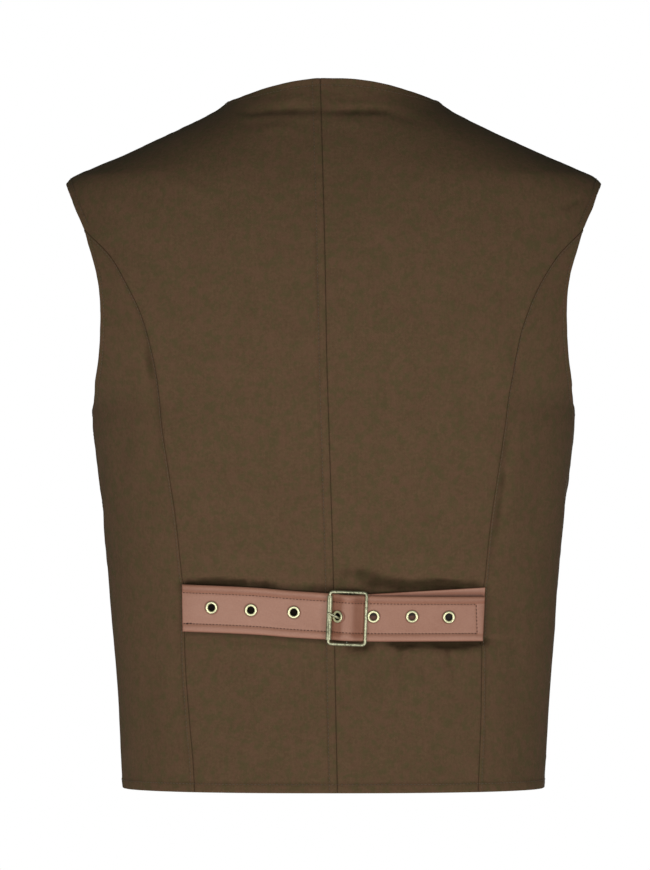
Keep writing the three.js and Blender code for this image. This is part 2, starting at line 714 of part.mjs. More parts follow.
function buckleFrame() {
  const cornerSteps = 4;
  const corners = [[1, 1, 0], [-1, 1, 90], [-1, -1, 180], [1, -1, 270]];
  const loop = corners.flatMap(([alongSign, acrossSign, from]) => {
    const middleAlong = alongSign * (buckleHalfWidth - buckleCorner);
    const middleAcross = acrossSign * (buckleHalfHeight - buckleCorner);
    return range(0, cornerSteps).map((n) => {
      const angle = THREE.MathUtils.degToRad(from + 90 * (n / cornerSteps));
      return onBuckle(
        buckleMiddle + middleAlong + buckleCorner * Math.cos(angle),
        middleAcross + buckleCorner * Math.sin(angle),
        barHeight,
      );
    });
  });
  const wireSides = 10;
  const outer = wireGeometry(loop, loop.map(() => barRadius), wireSides, buckleOut, true);
  const barEnds = [-1, 1].map((end) => onBuckle(buckleMiddle, end * (buckleHalfHeight - 0.2), barHeight));
  const bar = wireGeometry(barEnds, [barRadius, barRadius], wireSides, buckleOut);
  return geometryOf(solidOf(outer).add(solidOf(bar)));
}

function buckleRoller() {
  const place = onBuckle(buckleMiddle - buckleHalfWidth, 0, barHeight);
  return turnedPiece(ringProfile(rollerInner, rollerOuter, rollerHalf), 14, place, buckleUp);
}

// A ring's section, closed on itself.
const ringProfile = (inner, outer, half) => [
  [inner, -half], [outer, -half], [outer, half], [inner, half], [inner, -half],
];

// A turned piece with its axis pointing a given way.
function turnedPiece(profile, sides, place, axis) {
  const turn = new THREE.Quaternion().setFromUnitVectors(new THREE.Vector3(0, 0, 1), axis);
  const matrix = new THREE.Matrix4().compose(place, turn, new THREE.Vector3(1, 1, 1));
  return geometryOf(solidOf(lathe(profile, sides).applyMatrix4(matrix)));
}

function buckleProng() {
  const across = prongRows[0][2];
  const ringInner = barRadius + seamGap;
  const ringOuter = loopRadius + buckleStrapThick / 2 - 0.15;
  const ringPlace = onBuckle(buckleMiddle, across, barHeight);
  const ring = turnedPiece(ringProfile(ringInner, ringOuter, prongRadius), 16, ringPlace, buckleUp);
  const points = prongRows.map(([s, h, v]) => onBuckle(s, v, h));
  const radii = points.map((_, i) => (i === points.length - 1 ? 0.6 * prongRadius : prongRadius));
  radii[0] = 0.8 * prongRadius;
  const tongue = wireGeometry(points, radii, 8, buckleOut);
  return geometryOf(solidOf(ring).add(solidOf(tongue)));
}

function eyeletGeometry(row) {
  const face = longStrapThick / 2 + seamGap;
  const { flange, hole, barrel, rise, sides } = eyelet;
  const profile = [
    [hole, -longStrapThick / 2], [barrel, -longStrapThick / 2], [barrel, face], [flange, face],
    [flange - 0.3, face + 0.35], [(flange + hole) / 2, face + rise], [hole + 0.35, face + 0.4],
    [hole, face - 0.1], [hole, -longStrapThick / 2],
  ];
  return geometryOf(solidOf(lathe(profile, sides).applyMatrix4(eyeletMatrix(row))));
}

function buttonGeometry(height) {
  const { radius, rim, dome, sides } = button;
  const profile = [
    [0, seamGap], [radius - 0.6, seamGap], [radius, seamGap + 0.6], [radius, seamGap + rim],
    [radius * 0.8, seamGap + rim + (dome - rim) * 0.6], [radius * 0.45, seamGap + rim + (dome - rim) * 0.92],
    [0, seamGap + dome],
  ];
  const place = frontPoint(0, height);
  return turnedPiece(profile, sides, place, formNormal(place));
}

const looks = {
  cloth: new THREE.MeshStandardMaterial({ color: 0x544330, roughness: 0.92, metalness: 0 }),
  leather: new THREE.MeshStandardMaterial({ color: 0xa07560, roughness: 0.6, metalness: 0 }),
  brass: new THREE.MeshStandardMaterial({ color: 0x8d8767, roughness: 0.42, metalness: 1 }),
};

const vest = new THREE.Group();
// The origin is the middle between the side neck points.
vest.position.z = -neckHeight;

function addPiece(name, geometry, look) {
  const piece = new THREE.Mesh(geometry, looks[look]);
  piece.name = name;
  vest.add(piece);
}

[-1, 1].forEach((side) => {
  addPiece(`back_panel_${seamName(side)}`, backPanel(side), 'cloth');
  addPiece(`side_panel_${seamName(side)}`, sidePanel(side), 'cloth');
  addPiece(`front_panel_${seamName(side)}`, frontPanel(side), 'leather');
});
addPiece('belt_long_strap', longStrap(), 'leather');
addPiece('belt_buckle_strap', buckleStrap(), 'leather');
addPiece('buckle_frame', buckleFrame(), 'brass');
addPiece('buckle_roller', buckleRoller(), 'brass');
addPiece('buckle_prong', buckleProng(), 'brass');
eyeletRows.forEach((row, i) => addPiece(`eyelet_${i + 1}`, eyeletGeometry(row), 'brass'));
buttonHeights.forEach((height, i) => addPiece(`front_button_${i + 1}`, buttonGeometry(height), 'brass'));

export default vest;
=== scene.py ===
# A worn vest seen from behind: cloth back and sides, leather fronts, and a leather belt with a wire buckle.
# Lengths are in millimetres, heights from the hem, until a mesh is made.
# +X is the wearer's right, +Y their front and +Z up.
import math

import bpy
import numpy as np
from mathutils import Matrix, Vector


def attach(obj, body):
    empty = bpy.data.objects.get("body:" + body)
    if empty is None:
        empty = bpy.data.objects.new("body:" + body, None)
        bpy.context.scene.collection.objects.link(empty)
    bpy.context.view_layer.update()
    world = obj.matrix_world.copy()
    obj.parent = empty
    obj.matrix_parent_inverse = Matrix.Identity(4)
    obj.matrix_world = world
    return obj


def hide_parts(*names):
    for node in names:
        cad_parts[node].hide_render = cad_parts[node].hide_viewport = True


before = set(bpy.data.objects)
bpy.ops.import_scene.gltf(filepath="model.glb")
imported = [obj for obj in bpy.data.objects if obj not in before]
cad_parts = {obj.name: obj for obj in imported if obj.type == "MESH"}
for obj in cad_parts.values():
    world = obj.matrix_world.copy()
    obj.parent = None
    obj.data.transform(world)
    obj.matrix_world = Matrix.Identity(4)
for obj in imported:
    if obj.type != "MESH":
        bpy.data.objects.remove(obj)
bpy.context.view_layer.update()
hemBelowOrigin = 595.0
print("frame loaded")


# Camera
cameraLook = {"place": (-0.0074, -6.0, -0.290), "lens": 286.7, "sensor": 36.0}


def addCamera(look):
    data = bpy.data.cameras.new("camera")
    data.lens = look["lens"]
    data.sensor_width = look["sensor"]
    data.clip_end = 100
    camera = bpy.data.objects.new("camera", data)
    camera.location = look["place"]
    camera.rotation_euler = (math.radians(90), 0, 0)
    bpy.context.scene.collection.objects.link(camera)
    bpy.context.scene.camera = camera


addCamera(cameraLook)


# Tables and curves
def throughRows(rows, column=1):
    # Cubic through a table's rows that never overshoots them.
    at = np.array([row[0] for row in rows], float)
    of = np.array([row[column] for row in rows], float)
    gap = np.diff(at)
    rise = np.diff(of) / gap
    slope = np.zeros(len(at))
    slope[0], slope[-1] = rise[0], rise[-1]
    for i in range(1, len(at) - 1):
        if rise[i - 1] * rise[i] > 0:
            first, second = 2 * gap[i] + gap[i - 1], gap[i] + 2 * gap[i - 1]
            slope[i] = (first + second) / (first / rise[i - 1] + second / rise[i])

    def value(place):
        place = np.clip(place, at[0], at[-1])
        i = np.clip(np.searchsorted(at, place) - 1, 0, len(at) - 2)
        t = (place - at[i]) / gap[i]
        back = 1 - t
        return ((1 + 2 * t) * back * back * of[i] + t * back * back * gap[i] * slope[i]
                + t * t * (3 - 2 * t) * of[i + 1] - t * t * back * gap[i] * slope[i + 1])

    return value


def smoothCurve(points, closed=False, fine=40):
    # Centripetal curve through points, with `fine` steps from each to the next.
    points = np.asarray(points, float)
    if closed:
        ring = np.vstack([points[-1], points, points[0], points[1]])
    else:
        ring = np.vstack([2 * points[0] - points[1], points, 2 * points[-1] - points[-2]])
    t = np.arange(fine)[:, None] / fine
    runs = []
    for p0, p1, p2, p3 in zip(ring, ring[1:], ring[2:], ring[3:]):
        d0, d1, d2 = (max(1e-4, np.linalg.norm(b - a)) ** 0.5 for a, b in ((p0, p1), (p1, p2), (p2, p3)))
        m1 = ((p1 - p0) / d0 - (p2 - p0) / (d0 + d1) + (p2 - p1) / d1) * d1
        m2 = ((p2 - p1) / d1 - (p3 - p1) / (d1 + d2) + (p3 - p2) / d2) * d1
        runs.append(p1 + m1 * t + (3 * (p2 - p1) - 2 * m1 - m2) * t ** 2 + (2 * (p1 - p2) + m1 + m2) * t ** 3)
    last = points[:1] if closed else points[-1:]
    return np.vstack([*runs, last])


def lengthsAlong(points):
    return np.concatenate([[0], np.cumsum(np.linalg.norm(np.diff(points, axis=0), axis=1))])


def sharesOf(points):
    lengths = lengthsAlong(points)
    return lengths / lengths[-1]


def atShares(points, shares):
    own = sharesOf(points)
    return np.stack([np.interp(shares, own, points[:, k]) for k in range(3)], axis=1)


def smoothStep(low, high, value):
    t = np.clip((value - low) / (high - low), 0, 1)
    return t * t * (3 - 2 * t)


def bell(value, width):
    return np.exp(-(value / width) ** 2)


def unit(vectors):
    return vectors / np.maximum(np.linalg.norm(vectors, axis=-1, keepdims=True), 1e-9)


# The worn form: at each height, half its width and its depth behind and before the side line
formRows = [
    (0, 182.5, 104, 112), (93, 188, 99.3, 112), (125, 190.4, 98.3, 112.5), (149, 192.3, 98.1, 113),
    (173, 194.1, 98.4, 114), (200, 196.3, 100.8, 115.2), (249, 201.5, 106, 118.5), (283, 205.3, 109.5, 121),
    (318, 208.4, 113, 123.5), (330, 208.2, 114, 124), (340, 211, 114.8, 124.5), (350, 216, 115.5, 125),
    (370, 224, 117, 125.5), (404, 233, 118.5, 125), (440, 238, 118, 122), (470, 240, 115.5, 117),
    (500, 238.5, 110.5, 108), (514, 235.5, 107, 102.5), (521, 232, 105, 99.5), (528, 225.5, 102.5, 96),
    (535, 210.5, 100, 92), (548, 180, 94.5, 84), (562, 149.5, 88, 74), (571, 130, 83.5, 68),
    (578, 115.5, 79.8, 63), (585, 102.5, 76, 58.5), (592, 92.5, 72.5, 54), (600, 83.5, 69, 50),
    (612, 77, 65, 46),
]
formPowers = {"width": 2.5, "depth": 2.2}
formLevels = np.arange(-4, 616, 0.25)
formWidths, formBacks, formFronts = (throughRows(formRows, k)(formLevels) for k in (1, 2, 3))


def formSizes(y, z):
    depth = np.where(y < 0, np.interp(z, formLevels, formBacks), np.interp(z, formLevels, formFronts))
    return np.interp(z, formLevels, formWidths), depth


def formValue(points):
    width, depth = formSizes(points[..., 1], points[..., 2])
    return (np.abs(points[..., 0] / width) ** formPowers["width"]
            + np.abs(points[..., 1] / depth) ** formPowers["depth"])


def formNormal(points):
    step = 0.5
    rise = [formValue(points + axis * step) - formValue(points - axis * step) for axis in np.eye(3)]
    return unit(np.stack(rise, axis=-1))


def facePoint(face, x, z):
    # A point on the back (face -1) or the front (face 1).
    x, z = np.broadcast_arrays(np.asarray(x, float), np.asarray(z, float))
    width, depth = formSizes(np.full(x.shape, float(face)), z)
    left = np.maximum(0, 1 - np.abs(x / width) ** formPowers["width"])
    return np.stack([x, face * depth * left ** (1 / formPowers["depth"]), z], axis=-1)


def sidePoint(side, y, z):
    width, depth = formSizes(np.asarray(float(y)), np.asarray(float(z)))
    left = max(0, 1 - abs(y / depth) ** formPowers["depth"])
    return np.array([side * width * left ** (1 / formPowers["width"]), y, z])


formCore = {
    "share": 0.55, "roof": 545, "flatTo": 60, "fall": 0.42, "soft": 25, "near": 0.3, "far": 3.0,
    "halvings": 30,
}


def ontoForm(points):
    # Moves points near the form onto it, along the line from a core that stays below the shoulders.
    core = formCore
    roof = core["roof"] - core["fall"] * np.maximum(0, np.abs(points[..., 0]) - core["flatTo"])
    over = (points[..., 2] - roof) / core["soft"]
    start = np.stack([points[..., 0] * core["share"], np.zeros(over.shape),
                      points[..., 2] - core["soft"] * np.log1p(np.exp(over))], axis=-1)
    ray = points - start
    low, high = np.full(over.shape, core["near"]), np.full(over.shape, core["far"])
    for _ in range(core["halvings"]):
        middle = (low + high) / 2
        inside = formValue(start + ray * middle[..., None]) < 1
        low, high = np.where(inside, middle, low), np.where(inside, high, middle)
    return start + ray * ((low + high) / 2)[..., None]


def alongCurve(dense, shares):
    run = ontoForm(atShares(dense, shares))
    run[0], run[-1] = dense[0], dense[-1]
    return run


# Seams and edges of the cut
backSeamRows = [  # height, then the distance from the middle on the left and on the right
    (0, 118.6, 123.6), (28, 120.2, 124.7), (57, 123, 125.7), (107, 126.7, 126.6), (177, 129.2, 129.1),
    (231, 134.8, 134.7), (290, 143.6, 143.2), (332, 148.6, 148.6), (357, 151.8, 153.2), (401, 162.3, 162.7),
    (431, 175.5, 175.2), (459, 192.1, 192.8), (481.4, 214, 214),
]
middleSeamRows = [
    (0, 3.2), (85, 1.5), (176, -0.1), (288, -3.3), (370, -5.8), (453, -7.3), (551, -9.8), (612, -11.5),
]
armholeRows = [  # depth and height
    (6, 521.6), (-15, 520.6), (-35.7, 512.9), (-49.2, 498.4), (-60.2, 481.4), (-65, 468.2), (-71.7, 438.4),
    (-70.4, 402.9), (-59.5, 369.4), (-44, 349.9), (-31, 339.2), (-14, 330.6), (5, 327.5), (24, 331),
    (45, 345), (62, 368), (73, 400), (75, 435), (65, 470), (47, 498), (27, 515),
]
armholeAtSeam, armholeAtUnderarm = 4, 12  # the rows where the back seam and the side seam meet it
neckRows = [(28, 609.2), (46, 606), (59, 602.9), (70, 599.6), (78, 596.9), (84.5, 594.7)]
frontEdgeRows = [  # distance past the middle and height
    (15, 0), (15, 180), (15, 330), (14, 358), (8, 376), (-10, 404), (-33, 442), (-56, 486), (-73, 528),
    (-84, 566), (-89, 586),
]
frontEdgeAtUnderarm = 2
cut = {
    "neckHeight": 593.2, "neckDepth": 2, "neckGuide": -12, "backNeckHeight": 610.7, "middleAtArmhole": 500,
    "sideSeamAtHem": 8, "shoulderLift": 6, "underlapStep": 2.7, "underlapFrom": 18, "underlapTo": 34,
    "seamLap": 0.09,
}
middleAcross = throughRows(middleSeamRows)


def sideName(side):
    return "left" if side < 0 else "right"


def backSeam(side, shares):
    column = 1 if side < 0 else 2
    points = [facePoint(-1, side * row[column], row[0]) for row in backSeamRows]
    return alongCurve(smoothCurve(points), shares)


def armhole(side, start, end, shares):
    fine = 40
    ring = smoothCurve([sidePoint(side, y, z) for y, z in armholeRows], closed=True, fine=fine)
    low, high = sorted((start, end))
    part = ring[fine * low:fine * high + 1]
    return alongCurve(part if end > start else part[::-1], shares)


def sideSeam(side, shares):
    depth, height = armholeRows[armholeAtUnderarm]
    guides = [sidePoint(side, cut["sideSeamAtHem"] + (depth - cut["sideSeamAtHem"]) * t, height * t)
              for t in np.linspace(0, 1, 5)]
    return alongCurve(smoothCurve(guides), shares)


def shoulderSeam(side, shares):
    neck, tip = sidePoint(side, cut["neckDepth"], cut["neckHeight"]), sidePoint(side, *armholeRows[0])
    t = np.linspace(0, 1, 7)[:, None]
    guides = neck + (tip - neck) * t
    guides[:, 2] += cut["shoulderLift"] * np.sin(np.pi * t[:, 0])
    guides[1:-1] = ontoForm(guides[1:-1])
    return alongCurve(smoothCurve(guides), shares)


def backNeckline(side, shares):
    top, neck = cut["backNeckHeight"], cut["neckHeight"]
    points = [facePoint(-1, middleAcross(top), top), *(facePoint(-1, side * x, z) for x, z in neckRows),
              sidePoint(side, cut["neckGuide"], neck + 0.1), sidePoint(side, cut["neckDepth"], neck)]
    return alongCurve(smoothCurve(points), shares)


def frontEdge(side, lowerShares, upperShares):
    edge = [facePoint(1, -side * x, z) for x, z in frontEdgeRows]
    lower = alongCurve(smoothCurve(edge[:frontEdgeAtUnderarm + 1]), lowerShares)
    neck = sidePoint(side, cut["neckDepth"], cut["neckHeight"])
    upper = alongCurve(smoothCurve([*edge[frontEdgeAtUnderarm:], neck]), upperShares)
    return np.vstack([lower, upper[1:]])


def hemBetween(start, end, shares):
    run = ontoForm(start + (end - start) * shares[:, None])
    run[0], run[-1] = start, end
    return run


edgeSteps = [0.12, 0.35, 0.7, 1.15, 1.8]  # places closest to an edge


def spacedShares(length, step, fineStart=True, fineEnd=True):
    # Even places along a length, with closer ones at the ends that are edges.
    fine = np.array(edgeSteps) / length
    even = np.linspace(0, 1, max(2, round(length / step)) + 1)
    start = fine if fineStart else []
    end = 1 - fine if fineEnd else []
    low = fine[-1] + 0.3 * step / length if fineStart else 0
    high = 1 - fine[-1] - 0.3 * step / length if fineEnd else 1
    inside = even[(even > low) & (even < high)]
    return np.unique(np.concatenate([[0], start, inside, end, [1]]))


def fillEdges(bottom, top, inner, outer):
    # Fills four edges with a grid on the form: rows run up, columns from the inner edge out.
    u = ((sharesOf(top) + sharesOf(bottom)) / 2)[None, :, None]
    v = ((sharesOf(inner) + sharesOf(outer)) / 2)[:, None, None]
    grid = (bottom[None] * (1 - v) + top[None] * v + inner[:, None] * (1 - u) + outer[:, None] * u
            - bottom[0] * (1 - u) * (1 - v) - bottom[-1] * u * (1 - v)
            - top[0] * (1 - u) * v - top[-1] * u * v)
    grid = ontoForm(grid)
    grid[0], grid[-1], grid[:, 0], grid[:, -1] = bottom, top, inner, outer
    return grid


# Meshes
def toFrame(points):
    return (np.asarray(points, float) - (0, 0, hemBelowOrigin)) / 1000


def setMark(mesh, name, values):
    mark = mesh.attributes.new(name, "FLOAT", "POINT")
    mark.data.foreach_set("value", np.asarray(values, np.float32).ravel())


def addMesh(name, points, faces, material, slot, uv=None, marks=None):
    mesh = bpy.data.meshes.new(name)
    mesh.from_pydata(toFrame(points).tolist(), [], faces if isinstance(faces, list) else faces.tolist())
    mesh.polygons.foreach_set("use_smooth", np.ones(len(mesh.polygons), bool))
    if uv is not None:
        corner = np.zeros(len(mesh.loops), np.int32)
        mesh.loops.foreach_get("vertex_index", corner)
        flat = (np.asarray(uv)[corner] / 1000).astype(np.float32)
        mesh.uv_layers.new(name="flat").data.foreach_set("uv", flat.ravel())
    for key, values in (marks or {}).items():
        setMark(mesh, key, values)
    mesh.materials.append(material)
    mesh.validate()
    piece = bpy.data.objects.new(name, mesh)
    bpy.context.scene.collection.objects.link(piece)
    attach(piece, "root")
    return piece


def shell(outer, inner, uv, marks):
    # A closed skin between two grids that share their outermost points.
    rows, columns = outer.shape[:2]
    count, insideCount = rows * columns, (rows - 2) * (columns - 2)
    own = np.arange(count).reshape(rows, columns)
    under = own.copy()
    under[1:-1, 1:-1] = count + np.arange(insideCount).reshape(rows - 2, columns - 2)

    def quads(index):
        corners = [index[:-1, :-1], index[:-1, 1:], index[1:, 1:], index[1:, :-1]]
        return np.stack(corners, axis=-1).reshape(-1, 4)

    def onBoth(part):
        return np.concatenate([part.reshape(count, -1), part[1:-1, 1:-1].reshape(insideCount, -1)])

    points = onBoth(outer)
    points[count:] = inner[1:-1, 1:-1].reshape(-1, 3)
    faces = np.vstack([quads(own), quads(under)[:, ::-1]])
    corners = points[faces[:, :3]]
    volume = np.einsum("ij,ij->i", corners[:, 0], np.cross(corners[:, 1], corners[:, 2])).sum()
    if volume < 0:
        faces = faces[:, ::-1]
    return points, faces, onBoth(uv), {key: onBoth(part) for key, part in marks.items()}


def roundOver(distance, reach):
    # From 0 at an edge to 1 at `reach` from it, as a quarter circle.
    t = np.clip(distance / reach, 0, 1)
    return np.sqrt(np.maximum(0, 1 - (1 - t) ** 2))


def softNoise(points, size, seed, waves=26):
    # A smooth random field of about -1 to 1 whose features are about `size` across.
    draw = np.random.default_rng(seed)
    ways = unit(draw.normal(size=(waves, 3))) * (2 * np.pi / (size * draw.uniform(0.75, 1.7, (waves, 1))))
    turns = draw.uniform(0, 2 * np.pi, waves)
    return np.sin(points @ ways.T + turns).sum(axis=-1) / math.sqrt(waves / 2) * 0.5


def wayAlong(points, closed=False):
    # The way a line runs at each of its points.
    ahead = np.roll(points, -1, axis=0) if closed else np.vstack([points[1:], points[-1:]])
    behind = np.roll(points, 1, axis=0) if closed else np.vstack([points[:1], points[:-1]])
    return ahead - behind


def bandFaces(rings, nextRings):
    # Quads between rings of point numbers.
    corners = [rings, np.roll(rings, -1, axis=-1), np.roll(nextRings, -1, axis=-1), nextRings]
    return np.stack(corners, axis=-1).reshape(-1, 4).tolist()


def tube(points, radii, sides, outwards, closed=False):
    points = np.asarray(points, float)
    count = len(points)
    way = unit(wayAlong(points, closed))
    across = unit(np.cross(way, outwards))
    up = np.cross(across, way)
    angle = np.linspace(0, 2 * np.pi, sides, endpoint=False)[None, :, None]
    radii = np.broadcast_to(np.asarray(radii, float), count)[:, None, None]
    rings = points[:, None] + radii * (across[:, None] * np.cos(angle) + up[:, None] * np.sin(angle))
    at = np.arange(count * sides).reshape(count, sides)
    if closed:
        return rings.reshape(-1, 3), bandFaces(at, np.roll(at, -1, axis=0))
    return rings.reshape(-1, 3), bandFaces(at[:-1], at[1:]) + [at[0, ::-1].tolist(), at[-1].tolist()]


def lathe(profile, sides, place, alongAxis, acrossAxis, outAxis):
    # A turned ring, or a knob when the profile is open: its two ends are then capped.
    profile = np.asarray(profile, float)
    closed = np.allclose(profile[0], profile[-1])
    angle = np.linspace(0, 2 * np.pi, sides, endpoint=False)[None, :, None]
    rings = (place + profile[:, :1, None] * (alongAxis * np.cos(angle) + acrossAxis * np.sin(angle))
             + profile[:, 1:, None] * outAxis)
    at = np.arange(len(profile) * sides).reshape(len(profile), sides)
    if closed:
        rings, at = rings[:-1], np.vstack([at[:-1], at[:1]])
    ends = [] if closed else [at[0, ::-1].tolist(), at[-1].tolist()]
    return rings.reshape(-1, 3), bandFaces(at[:-1], at[1:]) + ends


def joined(parts):
    points, faces, start = [], [], 0
    for partPoints, partFaces in parts:
        points.append(partPoints)
        faces += [[i + start for i in face] for face in partFaces]
        start += len(partPoints)
    return np.vstack(points), faces


def booleanOf(piece, cutter, operation):
    # Cuts or joins with another mesh, and keeps the result as the piece's own mesh.
    change = piece.modifiers.new("change", "BOOLEAN")
    change.operation = operation
    change.solver = "EXACT"
    change.object = cutter
    bpy.context.view_layer.update()
    made = bpy.data.meshes.new_from_object(piece.evaluated_get(bpy.context.evaluated_depsgraph_get()))
    piece.modifiers.clear()
    piece.data = made
    bpy.data.objects.remove(cutter)


def loosePiece(points, faces):
    mesh = bpy.data.meshes.new("loose")
    mesh.from_pydata(toFrame(points).tolist(), [], faces)
    piece = bpy.data.objects.new("loose", mesh)
    bpy.context.scene.collection.objects.link(piece)
    return piece


# Materials
class Value:
    # A shader socket that can be added, subtracted and multiplied.
    def __init__(self, shader, socket):
        self.shader = shader
        self.socket = socket

    def maths(self, operation, first, second):
        return self.shader.node("ShaderNodeMath", {"operation": operation}, {0: first, 1: second})

    def __add__(self, other):
        return self.maths("ADD", self, other)

    def __radd__(self, other):
        return self.maths("ADD", other, self)

    def __sub__(self, other):
        return self.maths("SUBTRACT", self, other)

    def __rsub__(self, other):
        return self.maths("SUBTRACT", other, self)

    def __mul__(self, other):
        return self.maths("MULTIPLY", self, other)

    def __rmul__(self, other):
        return self.maths("MULTIPLY", other, self)


class Shader:
    # The nodes of a material or of the world.
    def __init__(self, owner):
        self.owner = owner
        owner.use_nodes = True
        self.tree = owner.node_tree
        self.tree.nodes.clear()

    def node(self, kind, settings=None, sockets=None, output=0):
        made = self.tree.nodes.new(kind)
        for key, value in (settings or {}).items():
            setattr(made, key, value)
        for key, value in (sockets or {}).items():
            if isinstance(value, Value):
                self.tree.links.new(value.socket, made.inputs[key])
            elif isinstance(value, tuple) and made.inputs[key].type == "RGBA":
                made.inputs[key].default_value = (*value, 1)
            else:
                made.inputs[key].default_value = value
        return Value(self, made.outputs[output]) if made.outputs else None

    def blend(self, factor, first, second):
        return self.node("ShaderNodeMix", {"data_type": "RGBA"}, {0: factor, 6: first, 7: second}, output=2)

    def shade(self, colour, amount):
        # Multiplies a colour by a value.
        return self.node("ShaderNodeVectorMath", {"operation": "SCALE"}, {0: colour, 3: amount})

    def wave(self, value):
        return self.node("ShaderNodeMath", {"operation": "SINE"}, {0: value})

    def noise(self, place, scale, detail=2.0, rough=0.5):
        sockets = {"Vector": place, "Scale": scale, "Detail": detail, "Roughness": rough}
        return self.node("ShaderNodeTexNoise", {}, sockets)

    def spread(self, value, low, high):
        # Takes the part of a value between low and high as 0 to 1.
        sockets = {0: value, 1: low, 2: high}
        return self.node("ShaderNodeMapRange", {"interpolation_type": "SMOOTHSTEP"}, sockets)

    def flat(self):
        return self.node("ShaderNodeUVMap", {"uv_map": "flat"})

    def place(self):
        return self.node("ShaderNodeTexCoord", output="Object")

    def mapped(self, place, **sockets):
        return self.node("ShaderNodeMapping", {}, {"Vector": place, **sockets})

    def mark(self, name):
        return self.node("ShaderNodeAttribute", {"attribute_name": name}, output="Fac")

    def bump(self, height, strength, distance, after=None):
        sockets = {"Height": height, "Strength": strength, "Distance": distance}
        if after is not None:
            sockets["Normal"] = after
        return self.node("ShaderNodeBump", {}, sockets)

    def finish(self, sockets):
        surface = self.node("ShaderNodeBsdfPrincipled", {}, sockets)
        self.node("ShaderNodeOutputMaterial", {}, {"Surface": surface})
        return self.owner


# A noise is its scale, detail and roughness; a bump is its strength and its height in metres.
clothLook = {
    "dark": (0.0900, 0.0515, 0.0250), "light": (0.1440, 0.0840, 0.0440), "olive": (0.0860, 0.0690, 0.0270),
    "red": (0.1420, 0.0700, 0.0420), "deep": (0.0280, 0.0165, 0.0050), "thread": (0.130, 0.090, 0.054),
    "oliveShare": 0.60, "redShare": 0.42, "grooveShade": 0.75, "hollowShade": 0.26, "hollowShadeTint": 0.62,
    "pitch": 0.62e-3, "rough": 0.88, "shine": 0.16, "sheen": 0.03, "sheenTint": (0.5, 0.42, 0.34),
    "blotch": (34, 3, 0.6), "speck": (420, 2, 0.6), "oliveCast": (140, 3, 0.65), "redCast": (125, 3, 0.6),
    "blotchShare": 0.15, "speckShare": 0.38, "warpShare": 0.40, "weftShare": 0.15, "weaveShare": 0.06,
    "olivePatches": (0.44, 0.64), "redPatches": (0.46, 0.64),
    "warpSlub": 620, "weftSlub": 540, "slubStretch": 0.06, "fuzzBump": (0.3, 0.0004),
    "threadBump": (0.4, 0.00012),
}
leatherLook = {
    "dark": (0.324, 0.136, 0.083), "light": (0.462, 0.225, 0.149), "edge": (0.170, 0.062, 0.036),
    "shadeTint": (0.285, 0.085, 0.036), "thread": (0.055, 0.022, 0.012), "markShade": 0.65,
    "shadeTintShare": 0.5, "deepShade": 0.94, "rough": 0.50, "shine": 0.45, "coat": 0.05, "coatRough": 0.35,
    "blotch": (26, 3, 0.55), "fine": (900, 3, 0.6), "poreScale": 1100.0, "grainBump": (0.25, 0.00015),
    "base": 0.15, "blotchShare": 0.30, "fineShare": 0.3, "poreShare": 0.2, "shadeTintMarks": (0.04, 0.4),
    "deepMarks": (0.38, 0.85),
}
threadLook = {"twist": (2600, 2, 0.5), "darker": 0.72, "rough": 0.75, "bump": (0.4, 0.0001)}
brassLook = {
    "bright": (0.50, 0.49, 0.32), "dark": (0.120, 0.115, 0.060), "metallic": 0.58, "rough": 0.50,
    "wear": 0.44,
}
patinaLook = {
    "patina": (520, 4, 0.65), "cloud": (90, 3, 0.5), "patinaShare": 0.65, "below": 0.14, "above": 0.12,
    "bump": (0.25, 0.00012),
}
eyeletLook = {
    "bright": (0.76, 0.72, 0.43), "dark": (0.34, 0.30, 0.15), "metallic": 0.35, "rough": 0.42, "wear": 0.36,
}


def newMaterial(name):
    return Shader(bpy.data.materials.new(name))


def clothMaterial(look):
    s = newMaterial("woven_cloth")
    flat, place, groove, hollow = s.flat(), s.place(), s.mark("groove"), s.mark("hollow")
    turn = 2 * math.pi / look["pitch"]
    warp, weft = (s.wave(s.node("ShaderNodeSeparateXYZ", {}, {0: flat}, output=way) * turn) for way in "XY")
    weave = warp * weft
    warpSlub = s.noise(s.mapped(flat, Scale=(1, look["slubStretch"], 1)), look["warpSlub"])
    weftSlub = s.noise(s.mapped(flat, Scale=(look["slubStretch"], 1, 1)), look["weftSlub"])
    blotch = s.spread(s.noise(place, *look["blotch"]), 0.3, 0.7)
    speck = s.noise(place, *look["speck"])
    olive = s.spread(s.noise(place, *look["oliveCast"]), *look["olivePatches"])
    elsewhere = s.mapped(place, Location=(3, 1, 2))
    red = s.spread(s.noise(elsewhere, *look["redCast"]), *look["redPatches"])
    tone = (blotch * look["blotchShare"] + s.spread(speck, 0.3, 0.7) * look["speckShare"]
            + warpSlub * look["warpShare"] + weftSlub * look["weftShare"] + weave * look["weaveShare"])
    colour = s.blend(tone, look["dark"], look["light"])
    colour = s.blend(olive * look["oliveShare"], colour, look["olive"])
    colour = s.blend(red * look["redShare"], colour, look["red"])
    # Painted shade: the groove mark darkens seams, stitches, the eyelets' holes and the belt's edges; the
    # hollow mark darkens deep creases, tints them towards the deep colour and lightens crests.
    colour = s.shade(colour, 1 - groove * look["grooveShade"])
    colour = s.shade(colour, 1 - hollow * look["hollowShade"])
    colour = s.blend(hollow * look["hollowShadeTint"], colour, look["deep"])
    fuzz = s.bump(speck, *look["fuzzBump"])
    threads = s.bump(weave + warpSlub * 0.6 + weftSlub * 0.4, *look["threadBump"], fuzz)
    return s.finish({
        "Base Color": colour, "Roughness": look["rough"] + weave * 0.05, "Normal": threads,
        "Specular IOR Level": look["shine"], "Sheen Weight": look["sheen"], "Sheen Roughness": 0.5,
        "Sheen Tint": look["sheenTint"],
    })


